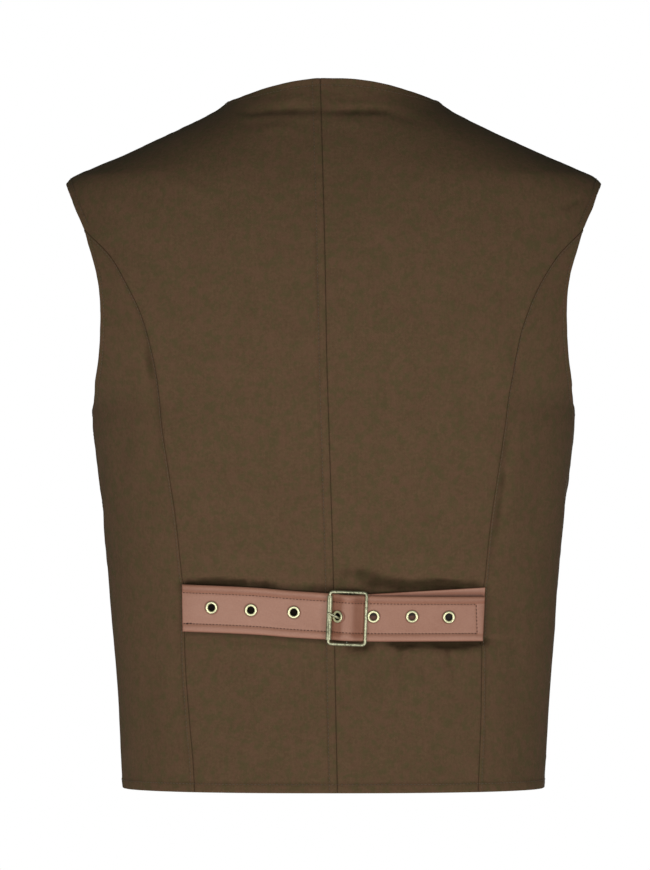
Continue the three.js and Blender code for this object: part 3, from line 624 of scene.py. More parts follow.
def leatherMaterial(look):
    s = newMaterial("tan_leather")
    place, groove, edge = s.place(), s.mark("groove"), s.mark("edge")
    blotch = s.spread(s.noise(place, *look["blotch"]), 0.25, 0.75)
    fine = s.noise(place, *look["fine"])
    cellSockets = {"Vector": place, "Scale": look["poreScale"]}
    pores = s.spread(s.node("ShaderNodeTexVoronoi", {"feature": "DISTANCE_TO_EDGE"}, cellSockets), 0.0, 0.22)
    tone = (look["base"] + blotch * look["blotchShare"] + s.spread(fine, 0.25, 0.75) * look["fineShare"]
            + pores * look["poreShare"])
    colour = s.blend(tone, look["dark"], look["light"])
    # Painted shade: the groove mark darkens the leather and tints it redder, and the deepest marks are nearly
    # black; a negative mark lightens it as a painted highlight.
    colour = s.shade(colour, 1 - groove * look["markShade"])
    shadeTint = s.spread(groove, *look["shadeTintMarks"]) * look["shadeTintShare"]
    colour = s.blend(shadeTint, colour, look["shadeTint"])
    colour = s.shade(colour, 1 - s.spread(groove, *look["deepMarks"]) * look["deepShade"])
    colour = s.blend(edge, colour, look["edge"])
    return s.finish({
        "Base Color": colour, "Roughness": look["rough"] - blotch * 0.06 + groove * 0.25,
        "Normal": s.bump(pores + fine * 0.5, *look["grainBump"]), "Specular IOR Level": look["shine"],
        "Coat Weight": look["coat"], "Coat Roughness": look["coatRough"],
    })


def threadMaterial(name, colour, look):
    s = newMaterial(name)
    twist = s.noise(s.place(), *look["twist"])
    dark = tuple(look["darker"] * part for part in colour)
    shade = s.blend(s.spread(twist, 0.3, 0.7), dark, colour)
    return s.finish({"Base Color": shade, "Roughness": look["rough"], "Normal": s.bump(twist, *look["bump"])})


def brassMaterial(name, look):
    s = newMaterial(name)
    place, paintedShade, wear = s.place(), s.mark("paintedShade"), look["wear"]
    patina = s.noise(place, *patinaLook["patina"])
    cloud = s.noise(place, *patinaLook["cloud"])
    mottle = patina * patinaLook["patinaShare"] + cloud * (1 - patinaLook["patinaShare"])
    worn = s.spread(mottle, wear - patinaLook["below"], wear + patinaLook["above"])
    # Painted shade: the mark darkens the buckle's middle bar and the eyelets' holes and rims.
    colour = s.shade(s.blend(worn, look["dark"], look["bright"]), 1 - paintedShade)
    return s.finish({
        "Base Color": colour, "Metallic": look["metallic"] + worn * 0.2,
        "Roughness": look["rough"] - worn * 0.14, "Normal": s.bump(patina, *patinaLook["bump"]),
    })


cloth = clothMaterial(clothLook)
leather = leatherMaterial(leatherLook)
brass = brassMaterial("antique_brass", brassLook)
eyeletBrass = brassMaterial("eyelet_brass", eyeletLook)
clothThread = threadMaterial("cloth_thread", clothLook["thread"], threadLook)
leatherThread = threadMaterial("leather_thread", leatherLook["thread"], threadLook)
print("materials made")


# Stitching
stitchLook = {"pitch": 3.1, "length": 2.3, "radius": 0.27, "rise": 0.16, "sides": 6}
stitchUneven = {"lengths": (0.88, 1.06), "lean": 0.32}
stitchBow = [  # along, lift and thickness, as shares
    (-0.5, -1.6, 0.35), (-0.38, 0.35, 0.9), (0, 1.0, 1), (0.38, 0.35, 0.9), (0.5, -1.6, 0.35),
]


def stitchRow(path, normals, look, seed):
    # Short bowed stitches along a path, their ends pulled into the stuff.
    lengths = lengthsAlong(path)
    count = int(lengths[-1] / look["pitch"])
    draw = np.random.default_rng(seed)
    middles = (np.arange(count) + 0.5) * lengths[-1] / count
    bows, lifts, thick = np.array(stitchBow).T
    lifts, thick = lifts * look["rise"], thick * look["radius"]
    lengthsEach = look["length"] * draw.uniform(*stitchUneven["lengths"], count)
    at = middles[:, None] + bows * lengthsEach[:, None]
    centre = np.stack([np.interp(at, lengths, path[:, k]) for k in range(3)], axis=-1)
    out = unit(np.stack([np.interp(at, lengths, normals[:, k]) for k in range(3)], axis=-1))
    way = unit(centre[:, -1] - centre[:, 0])[:, None]
    across = unit(np.cross(way, out))
    lean = draw.uniform(-stitchUneven["lean"], stitchUneven["lean"], (count, 1, 1))
    centre = centre + out * lifts[:, None] + across * lean * bows[:, None]
    sides, bands = look["sides"], len(bows)
    angle = np.linspace(0, 2 * np.pi, sides, endpoint=False)
    rings = (centre[:, :, None] + thick[None, :, None, None]
             * (across[:, :, None] * np.cos(angle)[:, None] + out[:, :, None] * np.sin(angle)[:, None]))
    at = np.arange(count * bands * sides).reshape(count, bands, sides)
    ends = at[:, 0, ::-1].tolist() + at[:, -1].tolist()
    return rings.reshape(-1, 3), bandFaces(at[:, :-1], at[:, 1:]) + ends


def lineInside(grid, edge, distance, rows):
    # The line that runs at a distance inside one edge of a grid.
    run = {"inner": grid, "outer": grid[:, ::-1], "bottom": grid.transpose(1, 0, 2),
           "top": grid[::-1].transpose(1, 0, 2)}[edge][rows]
    steps = np.linalg.norm(np.diff(run, axis=1), axis=2)
    away = np.concatenate([np.zeros((len(run), 1)), np.cumsum(steps, axis=1)], axis=1)
    return np.array([[np.interp(distance, a, line[:, k]) for k in range(3)] for a, line in zip(away, run)])


# Folds and hollows, each listed under the side that it is seen from: line, depth and two widths.
# A line runs through (across, height) points; a positive depth sinks the cloth and a negative one lifts it.
creases = {
    "back": [
        # neck and shoulders
        ([(-80, 581), (-45, 583), (-4, 583.5)], 2.9, 4.5, 3),
        ([(-8, 582.5), (20, 582.5), (50, 583)], 3.2, 4, 3),
        ([(40, 582), (60, 578), (80, 572)], 1.1, 4, 4),
        ([(-64, 566), (-45, 567), (-28, 563)], -0.9, 4, 4),
        ([(-40, 574), (-22, 575), (-6, 572)], -0.7, 3.5, 4),
        ([(2, 571), (14, 572), (26, 567)], -0.8, 5, 4),
        ([(-58, 590), (-36, 592), (-24, 597)], -0.6, 4, 4),
        ([(-84, 572), (-66, 571), (-48, 574)], 0.7, 5, 4),
        ([(0, 589), (6, 596), (3, 604)], 0.8, 2.5, 2.5),
        ([(11, 590), (20, 594), (29, 590)], 0.7, 2.5, 3),
        ([(-142, 522), (-124, 517), (-108, 511)], -0.9, 5, 5),
        ([(-184, 498), (-158, 486), (-140, 468)], -0.9, 14, 12),
        ([(-186, 476), (-172, 464), (-164, 446)], 1.1, 9, 9),
        ([(194, 498), (205, 504), (214, 509)], 1.5, 3.5, 3),
        ([(186, 490), (199, 495), (209, 499)], -0.7, 4.5, 5),
        # beside the curved seams
        ([(-176, 424), (-165, 398), (-158, 368), (-152, 330), (-149, 300)], 2.2, 4, 7),
        ([(-156, 300), (-151, 282), (-148, 262)], 1.3, 9, 9),
        ([(-150, 365), (-144, 325), (-139, 290)], -0.8, 8, 8),
        ([(172, 424), (165, 408), (158, 392)], -0.8, 5, 6),
        ([(163, 402), (156, 384), (155, 368), (161, 358)], 1.7, 4, 4),
        ([(152, 314), (148, 282), (144, 255), (139, 214), (137, 190)], 2.3, 5, 4.5),
        ([(166, 318), (159, 285), (152, 240)], -0.9, 8, 8),
        ([(136, 330), (131, 290), (125, 250)], -0.7, 8, 8),
        # the waist above the belt
        ([(-134, 178), (-122, 178.5), (-104, 179.5), (-78, 180)], 6, 3.0, 5.5),
        ([(-92, 179), (-74, 179), (-52, 177)], 3.4, 3.4, 5),
        ([(-66, 175), (-52, 176), (-38, 174)], 2.2, 4, 4),
        ([(-32, 174), (-14, 175), (2, 173)], 1.9, 4, 4),
        ([(-6, 188), (22, 188), (48, 183)], 2.7, 6, 6),
        ([(-16, 178), (40, 177), (112, 180)], 2.4, 8, 7),
        ([(28, 178), (46, 179), (64, 176)], 2.2, 3.6, 4),
        ([(50, 177), (74, 176.5), (98, 178)], 2.4, 3.6, 4),
        ([(72, 178), (104, 177), (134, 177.5)], 4.6, 3.4, 4),
        ([(-122, 203), (-92, 204), (-55, 198)], -1.0, 8, 8),
        ([(14, 208), (50, 203), (98, 203)], -1.0, 8, 8),
        ([(-130, 236), (-114, 231), (-98, 234)], 1.1, 11, 12),
        ([(58, 249), (90, 240), (122, 224)], 1.2, 12, 13),
        ([(-20, 210), (-8, 200), (-3, 190)], 0.7, 6, 6),
        # the waist below the belt
        ([(36, 128), (76, 127.5), (104, 127), (150, 130)], 4.0, 3.5, 4.5),
        ([(82, 129), (106, 127), (136, 130)], 5.2, 3.5, 4),
        ([(48, 129), (60, 127), (72, 129)], 5.0, 3.5, 3.6),
        ([(8, 126), (22, 124), (36, 127)], 4.2, 3.5, 4),
        ([(54, 125), (58, 119), (55, 110)], 2.0, 3.5, 3.5),
        ([(96, 124), (99, 118), (97, 108)], 2.2, 3.5, 3.5),
        ([(40, 121), (38, 110), (41, 97)], 1.3, 4, 4),
        ([(60, 119), (63, 106), (59, 88)], 1.1, 4.5, 4),
        ([(80, 119), (77, 107), (81, 93)], 1.1, 4, 4.5),
        ([(106, 119), (103, 108), (106, 98)], 0.9, 4, 4),
        ([(50, 112), (49, 98), (51, 80)], -0.9, 5, 5),
        ([(70, 111), (69, 98), (71, 82)], -0.8, 5, 5),
        ([(92, 110), (91, 98), (94, 84)], -0.7, 6, 6),
        ([(-134, 134), (-80, 131), (-20, 127)], 1.5, 3, 3.5),
        ([(32, 90), (44, 84), (52, 70)], -0.8, 12, 12),
        # long soft drags over the back
        ([(-100, 346), (-62, 349), (-28, 346)], 0.9, 7, 9),
        ([(-104, 312), (-76, 306), (-44, 318)], 0.7, 9, 12),
        ([(-22, 443), (8, 446), (42, 444)], 0.8, 4, 5),
        ([(46, 418), (54, 415), (62, 418)], 0.6, 5, 5),
        ([(100, 376), (112, 366), (132, 356)], 1.3, 9, 10),
        ([(26, 350), (56, 342), (92, 330)], 0.7, 10, 12),
        ([(-60, 470), (-52, 400), (-58, 330)], 0.5, 20, 20),
        ([(80, 470), (70, 400), (76, 330)], 0.5, 20, 20),
        ([(-96, 92), (-92, 56), (-98, 20)], 0.8, 9, 12),
        ([(-50, 70), (-58, 34), (-54, 8)], 0.9, 10, 11),
        ([(60, 64), (66, 34), (62, 6)], 0.9, 11, 10),
        ([(98, 70), (94, 38), (100, 8)], 0.7, 9, 11),
        ([(-163, 170), (-158, 110), (-160, 30)], 1.1, 10, 12),
        ([(152, 180), (158, 110), (154, 20)], 1.1, 11, 10),
    ],
    "left": [
        ([(-66, 330), (-58, 290), (-62, 240)], 0.84, 9, 8),
        ([(-40, 300), (-15, 250), (20, 215)], 1.08, 10, 8),
        ([(-30, 262), (5, 212), (40, 186)], -0.6, 11, 11),
        ([(10, 160), (2, 90), (6, 20)], 0.78, 13, 11),
        ([(50, 320), (30, 280), (-5, 235)], 0.78, 8, 8),
    ],
    "right": [
        ([(-64, 300), (-60, 250), (-66, 190)], 0.84, 8, 9),
        ([(-36, 305), (-8, 250), (26, 220)], 1.02, 10, 8),
        ([(-20, 190), (12, 150), (40, 130)], 0.72, 9, 11),
        ([(8, 140), (14, 80), (6, 20)], 0.78, 12, 12),
        ([(54, 318), (34, 272), (0, 236)], 0.78, 8, 8),
    ],
    "front": [
        ([(-150, 330), (-120, 290), (-75, 262)], 1.6, 12, 10),
        ([(-150, 250), (-100, 222), (-50, 212)], 1.2, 14, 12),
        ([(-130, 455), (-118, 420), (-122, 380)], 1.2, 14, 12),
        ([(-90, 150), (-84, 90), (-92, 20)], 1.2, 18, 16),
        ([(146, 332), (116, 292), (74, 270)], 1.6, 12, 10),
        ([(150, 256), (104, 226), (58, 206)], 1.2, 14, 12),
        ([(128, 458), (120, 424), (126, 384)], 1.2, 14, 12),
        ([(92, 146), (88, 86), (94, 18)], 1.2, 18, 16),
        ([(150, 180), (146, 120), (150, 60)], 1.0, 16, 16),
        ([(-150, 186), (-146, 120), (-152, 56)], 1.0, 16, 16),
    ],
}
viewAxes = {  # the axis that runs across the view, and the way towards the viewer
    "back": (0, (0, -1, 0)), "front": (0, (0, 1, 0)), "left": (1, (-1, 0, 0)), "right": (1, (1, 0, 0)),
}
creaseLook = {"even": 0.86, "uneven": 0.17, "taper": 0.6, "reach": 3}


def creaseField(points, normals):
    total = np.zeros(points.shape[:-1])
    rows = [(view, *row) for view, viewRows in creases.items() for row in viewRows]
    for number, (view, line, depth, wide, narrow) in enumerate(rows):
        axis, towards = viewAxes[view]
        facing = smoothStep(0.05, 0.4, normals @ np.array(towards, float))
        if not facing.any():
            continue
        place = points[..., [axis, 2]]
        path = smoothCurve(np.array([(a, b, 0) for a, b in line], float), fine=8)[:, :2]
        reach = creaseLook["reach"] * max(wide, narrow) + np.ptp(path, axis=0).max()
        near = (facing > 0) & (np.abs(place - path.mean(0)).max(-1) < reach)
        spots = place[near]
        if not len(spots):
            continue
        best = np.full(len(spots), np.inf)
        signed, share = np.zeros(len(spots)), np.zeros(len(spots))
        for i, (a, b) in enumerate(zip(path, path[1:])):
            way = b - a
            t = np.clip(((spots - a) @ way) / (way @ way), 0, 1)
            off = spots - a - t[:, None] * way
            away = np.hypot(*off.T)
            closer = away < best
            best = np.where(closer, away, best)
            signed = np.where(closer, np.sign(way[0] * off[:, 1] - way[1] * off[:, 0]), signed)
            share = np.where(closer, (i + t) / (len(path) - 1), share)
        width = np.where(signed > 0, wide, narrow)
        ripple = np.sin(share * 9 + number * 2.1) * np.sin(share * 17 + number)
        depths = depth * (creaseLook["even"] + creaseLook["uneven"] * ripple)
        ends = np.sin(np.pi * np.clip(share, 0.02, 0.98)) ** creaseLook["taper"]
        total[near] -= depths * ends * facing[near] * bell(best, width)
    return total


# The belt and the buttons rest on the stuff, so it keeps its form beneath them.
restingPlaces = {"beltLow": 125, "beltHigh": 180, "beltEnd": 133, "soft": 6, "button": 15}
buttonHeights = [42, 118, 194, 270, 344]


def restedField(points, field):
    r = restingPlaces
    x, y, z = points[..., 0], points[..., 1], points[..., 2]
    beneath = (smoothStep(r["beltLow"] - r["soft"], r["beltLow"] + r["soft"], z)
               * (1 - smoothStep(r["beltHigh"] - r["soft"], r["beltHigh"] + r["soft"], z))
               * (1 - smoothStep(r["beltEnd"] - 2, r["beltEnd"] + r["soft"], np.abs(x))) * (y < 0))
    field = field * (1 - beneath) + np.minimum(field, 0.1) * beneath
    for height in buttonHeights:
        near = bell(np.hypot(x, z - height), r["button"]) * (y > 0)
        field = field * (1 - near)
    return field


# Panels
panelLook = {
    "clothWall": 1.6, "leatherWall": 2.0, "step": 2.5, "seamRoll": 0.6, "hollowFrom": 1.5,
    "hollowFull": 1.9, "hollowLift": 0.05, "drape": 0.3, "drapeSize": 85, "ripple": 0.14, "rippleSize": 24,
    "pucker": 0.28, "puckerSize": 11, "stitchSink": 0.32, "stitchShade": 0.22, "stitchWidth": 0.9,
    "seamShade": 0.33, "seamWidth": 0.6, "edgeWear": 0.5, "edgeWidth": 1.2,
}
stitchParts = {"cloth": [], "leather": []}


def closeSeam(grid, normals, run, nextRun):
    # Moves a seam's edge just past the seam, so that no light shows between its two panels.
    points = grid[run]
    sideways = unit(np.cross(wayAlong(points), normals[run]))
    inward = np.sign(np.einsum("ij,ij->i", sideways, grid[nextRun] - points))
    grid[run] = points - sideways * inward[:, None] * cut["seamLap"]


def edgeDistances(grid):
    along = np.linalg.norm(np.diff(grid, axis=1), axis=2)
    up = np.linalg.norm(np.diff(grid, axis=0), axis=2)
    fromInner = np.concatenate([np.zeros((grid.shape[0], 1)), np.cumsum(along, axis=1)], axis=1)
    fromBottom = np.concatenate([np.zeros((1, grid.shape[1])), np.cumsum(up, axis=0)], axis=0)
    return {"inner": fromInner, "outer": fromInner[:, -1:] - fromInner,
            "bottom": fromBottom, "top": fromBottom[-1:] - fromBottom}


def printCut(name, grid):
    # What the panel is cut to, measured along the form.
    across = np.linalg.norm(np.diff(grid, axis=1), axis=2).sum(axis=1).max()
    up = np.linalg.norm(np.diff(grid, axis=0), axis=2).sum(axis=0).max()
    a, b = grid[1:, 1:] - grid[:-1, :-1], grid[1:, :-1] - grid[:-1, 1:]
    area = np.linalg.norm(np.cross(a, b), axis=2).sum() / 2e6
    print(f"{name}: cut {across:.0f} by {up:.0f} mm, {area:.4f} m2")


def makePanel(part, side, grid, material, slot, wall, edges, seed, sink=None):
    # edges lists (edge, rows or columns from, to, kind, rise, stitch distance); kind is "seam" or "edge".
    look = panelLook
    name, node = f"vest_{part}_{sideName(side)}", f"{part}_panel_{sideName(side)}"
    normals = formNormal(grid)
    shape = grid.shape[:2]
    away = edgeDistances(grid)
    field = creaseField(grid, normals)
    field += (look["drape"] * softNoise(grid, look["drapeSize"], 5)
              + look["ripple"] * softNoise(grid, look["rippleSize"], 6))
    depth = -field - look["hollowFrom"]
    # Painted shade: deep hollows are darkened, and crests are lightened a little as painted light.
    hollow = np.clip(depth / look["hollowFull"], 0, 1) - look["hollowLift"] * np.clip(field, 0, 2)
    everyRow, everyColumn = np.arange(shape[0])[:, None], np.arange(shape[1])[None, :]
    over, groove, edgeMark = np.ones(shape), np.zeros(shape), np.zeros(shape)
    base = grid.copy()
    for edge, start, end, kind, rise, stitchAt in edges:
        place = everyRow if edge in ("inner", "outer") else everyColumn
        here = np.broadcast_to((place >= start) & (place <= end), shape)
        distance = np.where(here, away[edge], 1e3)
        over = np.minimum(over, roundOver(distance, look["seamRoll"] if kind == "seam" else wall / 2))
        reach = stitchAt if stitchAt else 5
        level = smoothStep(0, 2.2, distance) if kind == "seam" else 1  # two panels meet level at their seam
        field += rise * level * (1 - smoothStep(reach - 1.5, reach + 3.5, distance))
        puckers = look["pucker"] * level * softNoise(grid, look["puckerSize"], seed + 3)
        field += puckers * bell(distance - reach * 0.5, reach * 0.9)
        # Painted shade along the stitches and in the seam's groove.
        if stitchAt:
            stitched = bell(distance - stitchAt, look["stitchWidth"])
            field -= look["stitchSink"] * stitched
            groove = np.maximum(groove, look["stitchShade"] * stitched)
        if kind == "seam":
            groove = np.maximum(groove, look["seamShade"] * bell(distance, look["seamWidth"]))
            span = slice(start, end + 1)
            runs = {"inner": ((span, 0), (span, 1)), "outer": ((span, -1), (span, -2)),
                    "bottom": ((0, span), (1, span)), "top": ((-1, span), (-2, span))}
            closeSeam(base, normals, *runs[edge])
        else:
            edgeMark = np.maximum(edgeMark, look["edgeWear"] * bell(distance, look["edgeWidth"]))
    field = restedField(grid, field)
    if sink is not None:
        field = field - sink(grid[..., 0])
    over[0], over[-1], over[:, 0], over[:, -1] = 0, 0, 0, 0
    middle = base + normals * (field - wall / 2)[..., None]
    half = (over * wall / 2)[..., None] * normals
    outer, inner = middle + half, middle - half
    uv = np.stack([away["inner"], away["bottom"]], axis=-1)
    marks = {"groove": np.maximum(groove, paintedShadeByBelt(grid)), "edge": edgeMark, "hollow": hollow}
    points, faces, flat, marks = shell(outer, inner, uv, marks)
    piece = addMesh(name, points, faces, material, slot, flat, marks)
    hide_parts(node)
    printCut(name, grid)
    for number, (edge, start, end, kind, _, stitchAt) in enumerate(edges):
        if stitchAt:
            line = lineInside(outer, edge, stitchAt, slice(start, end + 1))
            stitchParts[slot].append(stitchRow(line, formNormal(line), stitchLook, seed + number))
    return piece


holeRows = [  # place along the belt, and how far above the strap's middle
    (-103.7, 1.3), (-70.3, 0.7), (-33.9, 1.7), (3.8, 0.6), (33.5, 1.8), (66.2, 2.1), (97.3, 1.6),
]
longStrapRows = [  # place along, height of the middle, lean in degrees, width
    (-130, 157.3, -0.6, 40.6), (-101, 156.4, 0.4, 40.4), (-67, 154.9, 1.4, 40.2), (-34, 152.3, 2.0, 40),
    (-6, 150.6, 2.2, 39.8), (11.7, 149.4, 2.2, 39.6), (34, 148.6, 2.2, 39.3), (70, 148.3, 2.4, 38.8),
    (131, 148.1, 2.5, 38.4),
]
strapMiddle = throughRows(longStrapRows)
# How far the painted shade down the eyelets' holes and beside the belt spreads, and how dark it is.
shadeByBelt = {
    "hole": 1.25, "holeFrom": 4.5, "holeTo": 8, "beltHalf": 20, "belt": 0.56, "above": 7, "below": 5,
    "beltEnds": (124, 134),
}


def paintedShadeByBelt(grid):
    # Painted shade: the cloth is darkened down the eyelets' holes and along the belt's two edges, where shade
    # falls.
    x, y, z = grid[..., 0], grid[..., 1], grid[..., 2]
    shade = np.zeros(x.shape)
    for along, above in holeRows:
        away = np.hypot(x - along, z - (strapMiddle(along) + above))
        within = 1 - smoothStep(shadeByBelt["holeFrom"], shadeByBelt["holeTo"], away)
        shade = np.maximum(shade, shadeByBelt["hole"] * within)
    above = z - strapMiddle(x) - shadeByBelt["beltHalf"]
    below = strapMiddle(x) - shadeByBelt["beltHalf"] - z
    nearBelt = (shadeByBelt["belt"] * (1 - smoothStep(0.5, shadeByBelt["above"], above))
                * (1 - smoothStep(0.5, shadeByBelt["below"], below)))
    beside = 1 - smoothStep(*shadeByBelt["beltEnds"], np.abs(x))
    return np.maximum(shade, nearBelt * beside) * (y < 0)


seamLengths = {  # about how long each is, which sets the panels' rows and columns
    "back": 500, "backArmhole": 125, "neck": 92, "shoulder": 160, "underarm": 110, "side": 480,
    "frontLow": 330, "frontHigh": 290,
}
stitchedAt = {  # how far inside an edge its stitches run
    "middle": 7.4, "armhole": 7, "hem": 7.8, "sideBack": 3.5, "frontEdge": 6, "frontSeam": 4, "frontHem": 7,
}
rises = {  # how far the stuff stands up beside an edge
    "edge": 0.35, "frontEdge": 0.25, "sewnMiddle": 0.5, "plainMiddle": 0.05, "sideBack": 0.45, "seam": 0.3,
    "flatSeam": 0.1,
}


def sharesBothEnds(name):
    return spacedShares(seamLengths[name], panelLook["step"])


def sharesInTwo(first, second):
    # The same for a run in two parts, with close places only at its two outer ends.
    step = panelLook["step"]
    return (spacedShares(seamLengths[first], step, fineEnd=False),
            spacedShares(seamLengths[second], step, fineStart=False))


def panelGrid(top, inner, outer):
    return fillEdges(hemBetween(inner[0], outer[0], sharesOf(top)), top, inner, outer)


def backPanel(side):
    lowShares, highShares = sharesInTwo("back", "backArmhole")
    neckShares, tipShares = sharesInTwo("neck", "shoulder")
    outer = np.vstack([backSeam(side, lowShares), armhole(side, armholeAtSeam, 0, highShares)[1:]])
    turn, neck = cut["middleAtArmhole"], cut["backNeckHeight"]
    levels = np.concatenate([turn * lowShares, turn + (neck - turn) * highShares[1:]])
    inner = facePoint(-1, middleAcross(levels), levels)
    top = np.vstack([backNeckline(side, neckShares), shoulderSeam(side, tipShares)[1:]])
    seamTop, neckEnd, last, end = len(lowShares) - 1, len(neckShares) - 1, len(top) - 1, len(levels) - 1
    # Only the left side of the middle seam is stitched down.
    middle = (rises["sewnMiddle"], stitchedAt["middle"]) if side < 0 else (rises["plainMiddle"], 0)
    edges = [
        ("inner", 0, end, "seam", *middle),
        ("outer", 0, seamTop, "seam", rises["flatSeam"], 0),
        ("outer", seamTop, end, "edge", rises["edge"], stitchedAt["armhole"]),
        ("top", 0, neckEnd, "edge", rises["edge"], stitchedAt["armhole"]),
        ("top", neckEnd, last, "seam", rises["seam"], 0),
        ("bottom", 0, last, "edge", rises["edge"], stitchedAt["hem"]),
    ]
    grid = panelGrid(top, inner, outer)
    return makePanel("back", side, grid, cloth, "cloth", panelLook["clothWall"], edges, 20 + side)


def sidePanel(side):
    acrossShares, upShares = sharesBothEnds("underarm"), sharesBothEnds("side")
    inner, outer = backSeam(side, upShares), sideSeam(side, upShares)
    top = armhole(side, armholeAtSeam, armholeAtUnderarm, acrossShares)
    end, last = len(upShares) - 1, len(acrossShares) - 1
    edges = [
        ("inner", 0, end, "seam", rises["sideBack"], stitchedAt["sideBack"]),
        ("outer", 0, end, "seam", rises["flatSeam"], 0),
        ("top", 0, last, "edge", rises["edge"], stitchedAt["armhole"]),
        ("bottom", 0, last, "edge", rises["edge"], stitchedAt["hem"]),
    ]
    grid = panelGrid(top, inner, outer)
    return makePanel("side", side, grid, cloth, "cloth", panelLook["clothWall"], edges, 30 + side)


def frontPanel(side):
    lowShares, highShares = sharesInTwo("frontLow", "frontHigh")
    tipShares = sharesBothEnds("shoulder")
    inner = frontEdge(side, lowShares, highShares)
    upper = armhole(side, armholeAtUnderarm, len(armholeRows), highShares)
    outer = np.vstack([sideSeam(side, lowShares), upper[1:]])
    seamTop, end, last = len(lowShares) - 1, len(inner) - 1, len(tipShares) - 1
    edges = [
        ("inner", 0, end, "edge", rises["frontEdge"], stitchedAt["frontEdge"]),
        ("outer", 0, seamTop, "seam", rises["seam"], stitchedAt["frontSeam"]),
        ("outer", seamTop, end, "edge", rises["frontEdge"], stitchedAt["frontEdge"]),
        ("top", 0, last, "seam", rises["seam"], stitchedAt["frontSeam"]),
        ("bottom", 0, last, "edge", rises["frontEdge"], stitchedAt["frontHem"]),
    ]

    def underlap(x):
        # The right front steps in beneath the left one.
        return cut["underlapStep"] * (1 - smoothStep(cut["underlapFrom"], cut["underlapTo"], x)) * (side > 0)

    grid = panelGrid(shoulderSeam(side, tipShares), inner, outer)
    wall = panelLook["leatherWall"]
    return makePanel("front", side, grid, leather, "leather", wall, edges, 40 + side, underlap)


panelMakers = {"back": backPanel, "side": sidePanel, "front": frontPanel}
panels = {f"{part}_{sideName(side)}": make(side) for side in (-1, 1) for part, make in panelMakers.items()}
print("panels made")


# Belt
belt = {
    "width": 40, "longThick": 1.5, "shortThick": 1.4, "spacing": 1.8, "longStart": -129, "shortEnd": 128.2,
    "freeEnd": 127.3, "stitchAt": 7.0, "endStitch": (4.9, 7.9), "puff": 0.7, "upperPuff": 1.0, "endPuff": 0.3,
    "stitchSink": 0.34, "endSink": 0.3, "wave": 0.14, "smallWave": 0.05, "pucker": 0.09,
}
stitchLine = belt["width"] / 2 - belt["stitchAt"]
buckleStrapRows = [  # as longStrapRows
    (-20, 147.8, 2.2, 39), (11.7, 149.2, 2.2, 39), (30, 150.1, 2.2, 39.2), (131, 155.2, 2.5, 40),
]
longProfile = [  # place along, and how far the strap's middle layer stands off the form
    (-140, 1.15), (-90, 1.15), (-60, 1.15), (-40, 1.25), (-25, 1.8), (-12, 3.0), (-3.9, 3.35), (0, 4.85),
    (3.8, 7.75), (7.5, 10.3), (11.7, 11.2), (15.9, 10.4), (20, 8.1), (24, 5.7), (27.3, 4.65), (33, 4.6),
    (45, 4.6), (52, 4.0), (60, 3.1), (70, 2.95), (90, 2.95), (140, 2.95),
]
foldProfile = [(15, 3.9), (19, 2.2), (24, 1.15), (30, 1.05), (42, 1.05)]
buckle = {
    "middle": 11.7, "lean": 2.2, "height": 148.9, "halfWidth": 15.6, "halfHeight": 22.2, "corner": 2.6,
    "bar": 1.35, "barHeight": 7, "rollerInner": 1.95, "rollerOuter": 2.45, "rollerHalf": 18.9, "prong": 1.15,
    "slotAlong": 13, "slotAcross": 3.1, "slotDeep": 14, "clear": 0.3, "sides": 24, "wobble": 0.03,
    "wobbleSize": 9, "paintedShade": 0.88, "slit": 0.075, "slitLean": -8, "rollerSides": 45,
}
prongRows = [  # place along, height above the form, place across
    (9.4, 7.0, -1.6), (7.6, 7.05, -1.1), (5.6, 7.45, -0.4), (3.8, 8.3, 0.3), (1.6, 9.7, 1.3),
    (-0.8, 10.75, 2.4), (-3.4, 11.15, 3.4), (-5.6, 10.95, 4.2),
]
longAbove = throughRows(longProfile)


def beltLayout(rows):
    middle, lean, width = (throughRows(rows, column) for column in (1, 2, 3))

    def place(along, across, above):
        angle = np.radians(lean(along))
        off = across * width(along) / belt["width"]
        point = facePoint(-1, along + off * np.sin(angle), middle(along) + off * np.cos(angle))
        return point + formNormal(point) * np.asarray(above)[..., None]

    return place


onLongStrap, onShortStrap = beltLayout(longStrapRows), beltLayout(buckleStrapRows)
buckleFoot = facePoint(-1, buckle["middle"], buckle["height"])
buckleOut = formNormal(buckleFoot)
buckleUp = np.array([math.sin(math.radians(buckle["lean"])), 0, 1])
buckleUp = unit(buckleUp - buckleOut * (buckleUp @ buckleOut))
buckleAlong = np.cross(buckleUp, buckleOut)


def onBuckle(along, across, above):
    return (buckleFoot + np.multiply.outer(np.asarray(along, float) - buckle["middle"], buckleAlong)
            + np.multiply.outer(np.asarray(across, float), buckleUp)
            + np.multiply.outer(np.asarray(above, float), buckleOut))


def pathNormals(path):
    way = unit(wayAlong(path))
    return np.stack([-way[:, 1], way[:, 0]], axis=1)


edgePlaces = [0.1, 0.3, 0.6, 1.0]  # the closest places to a strap's edge or end


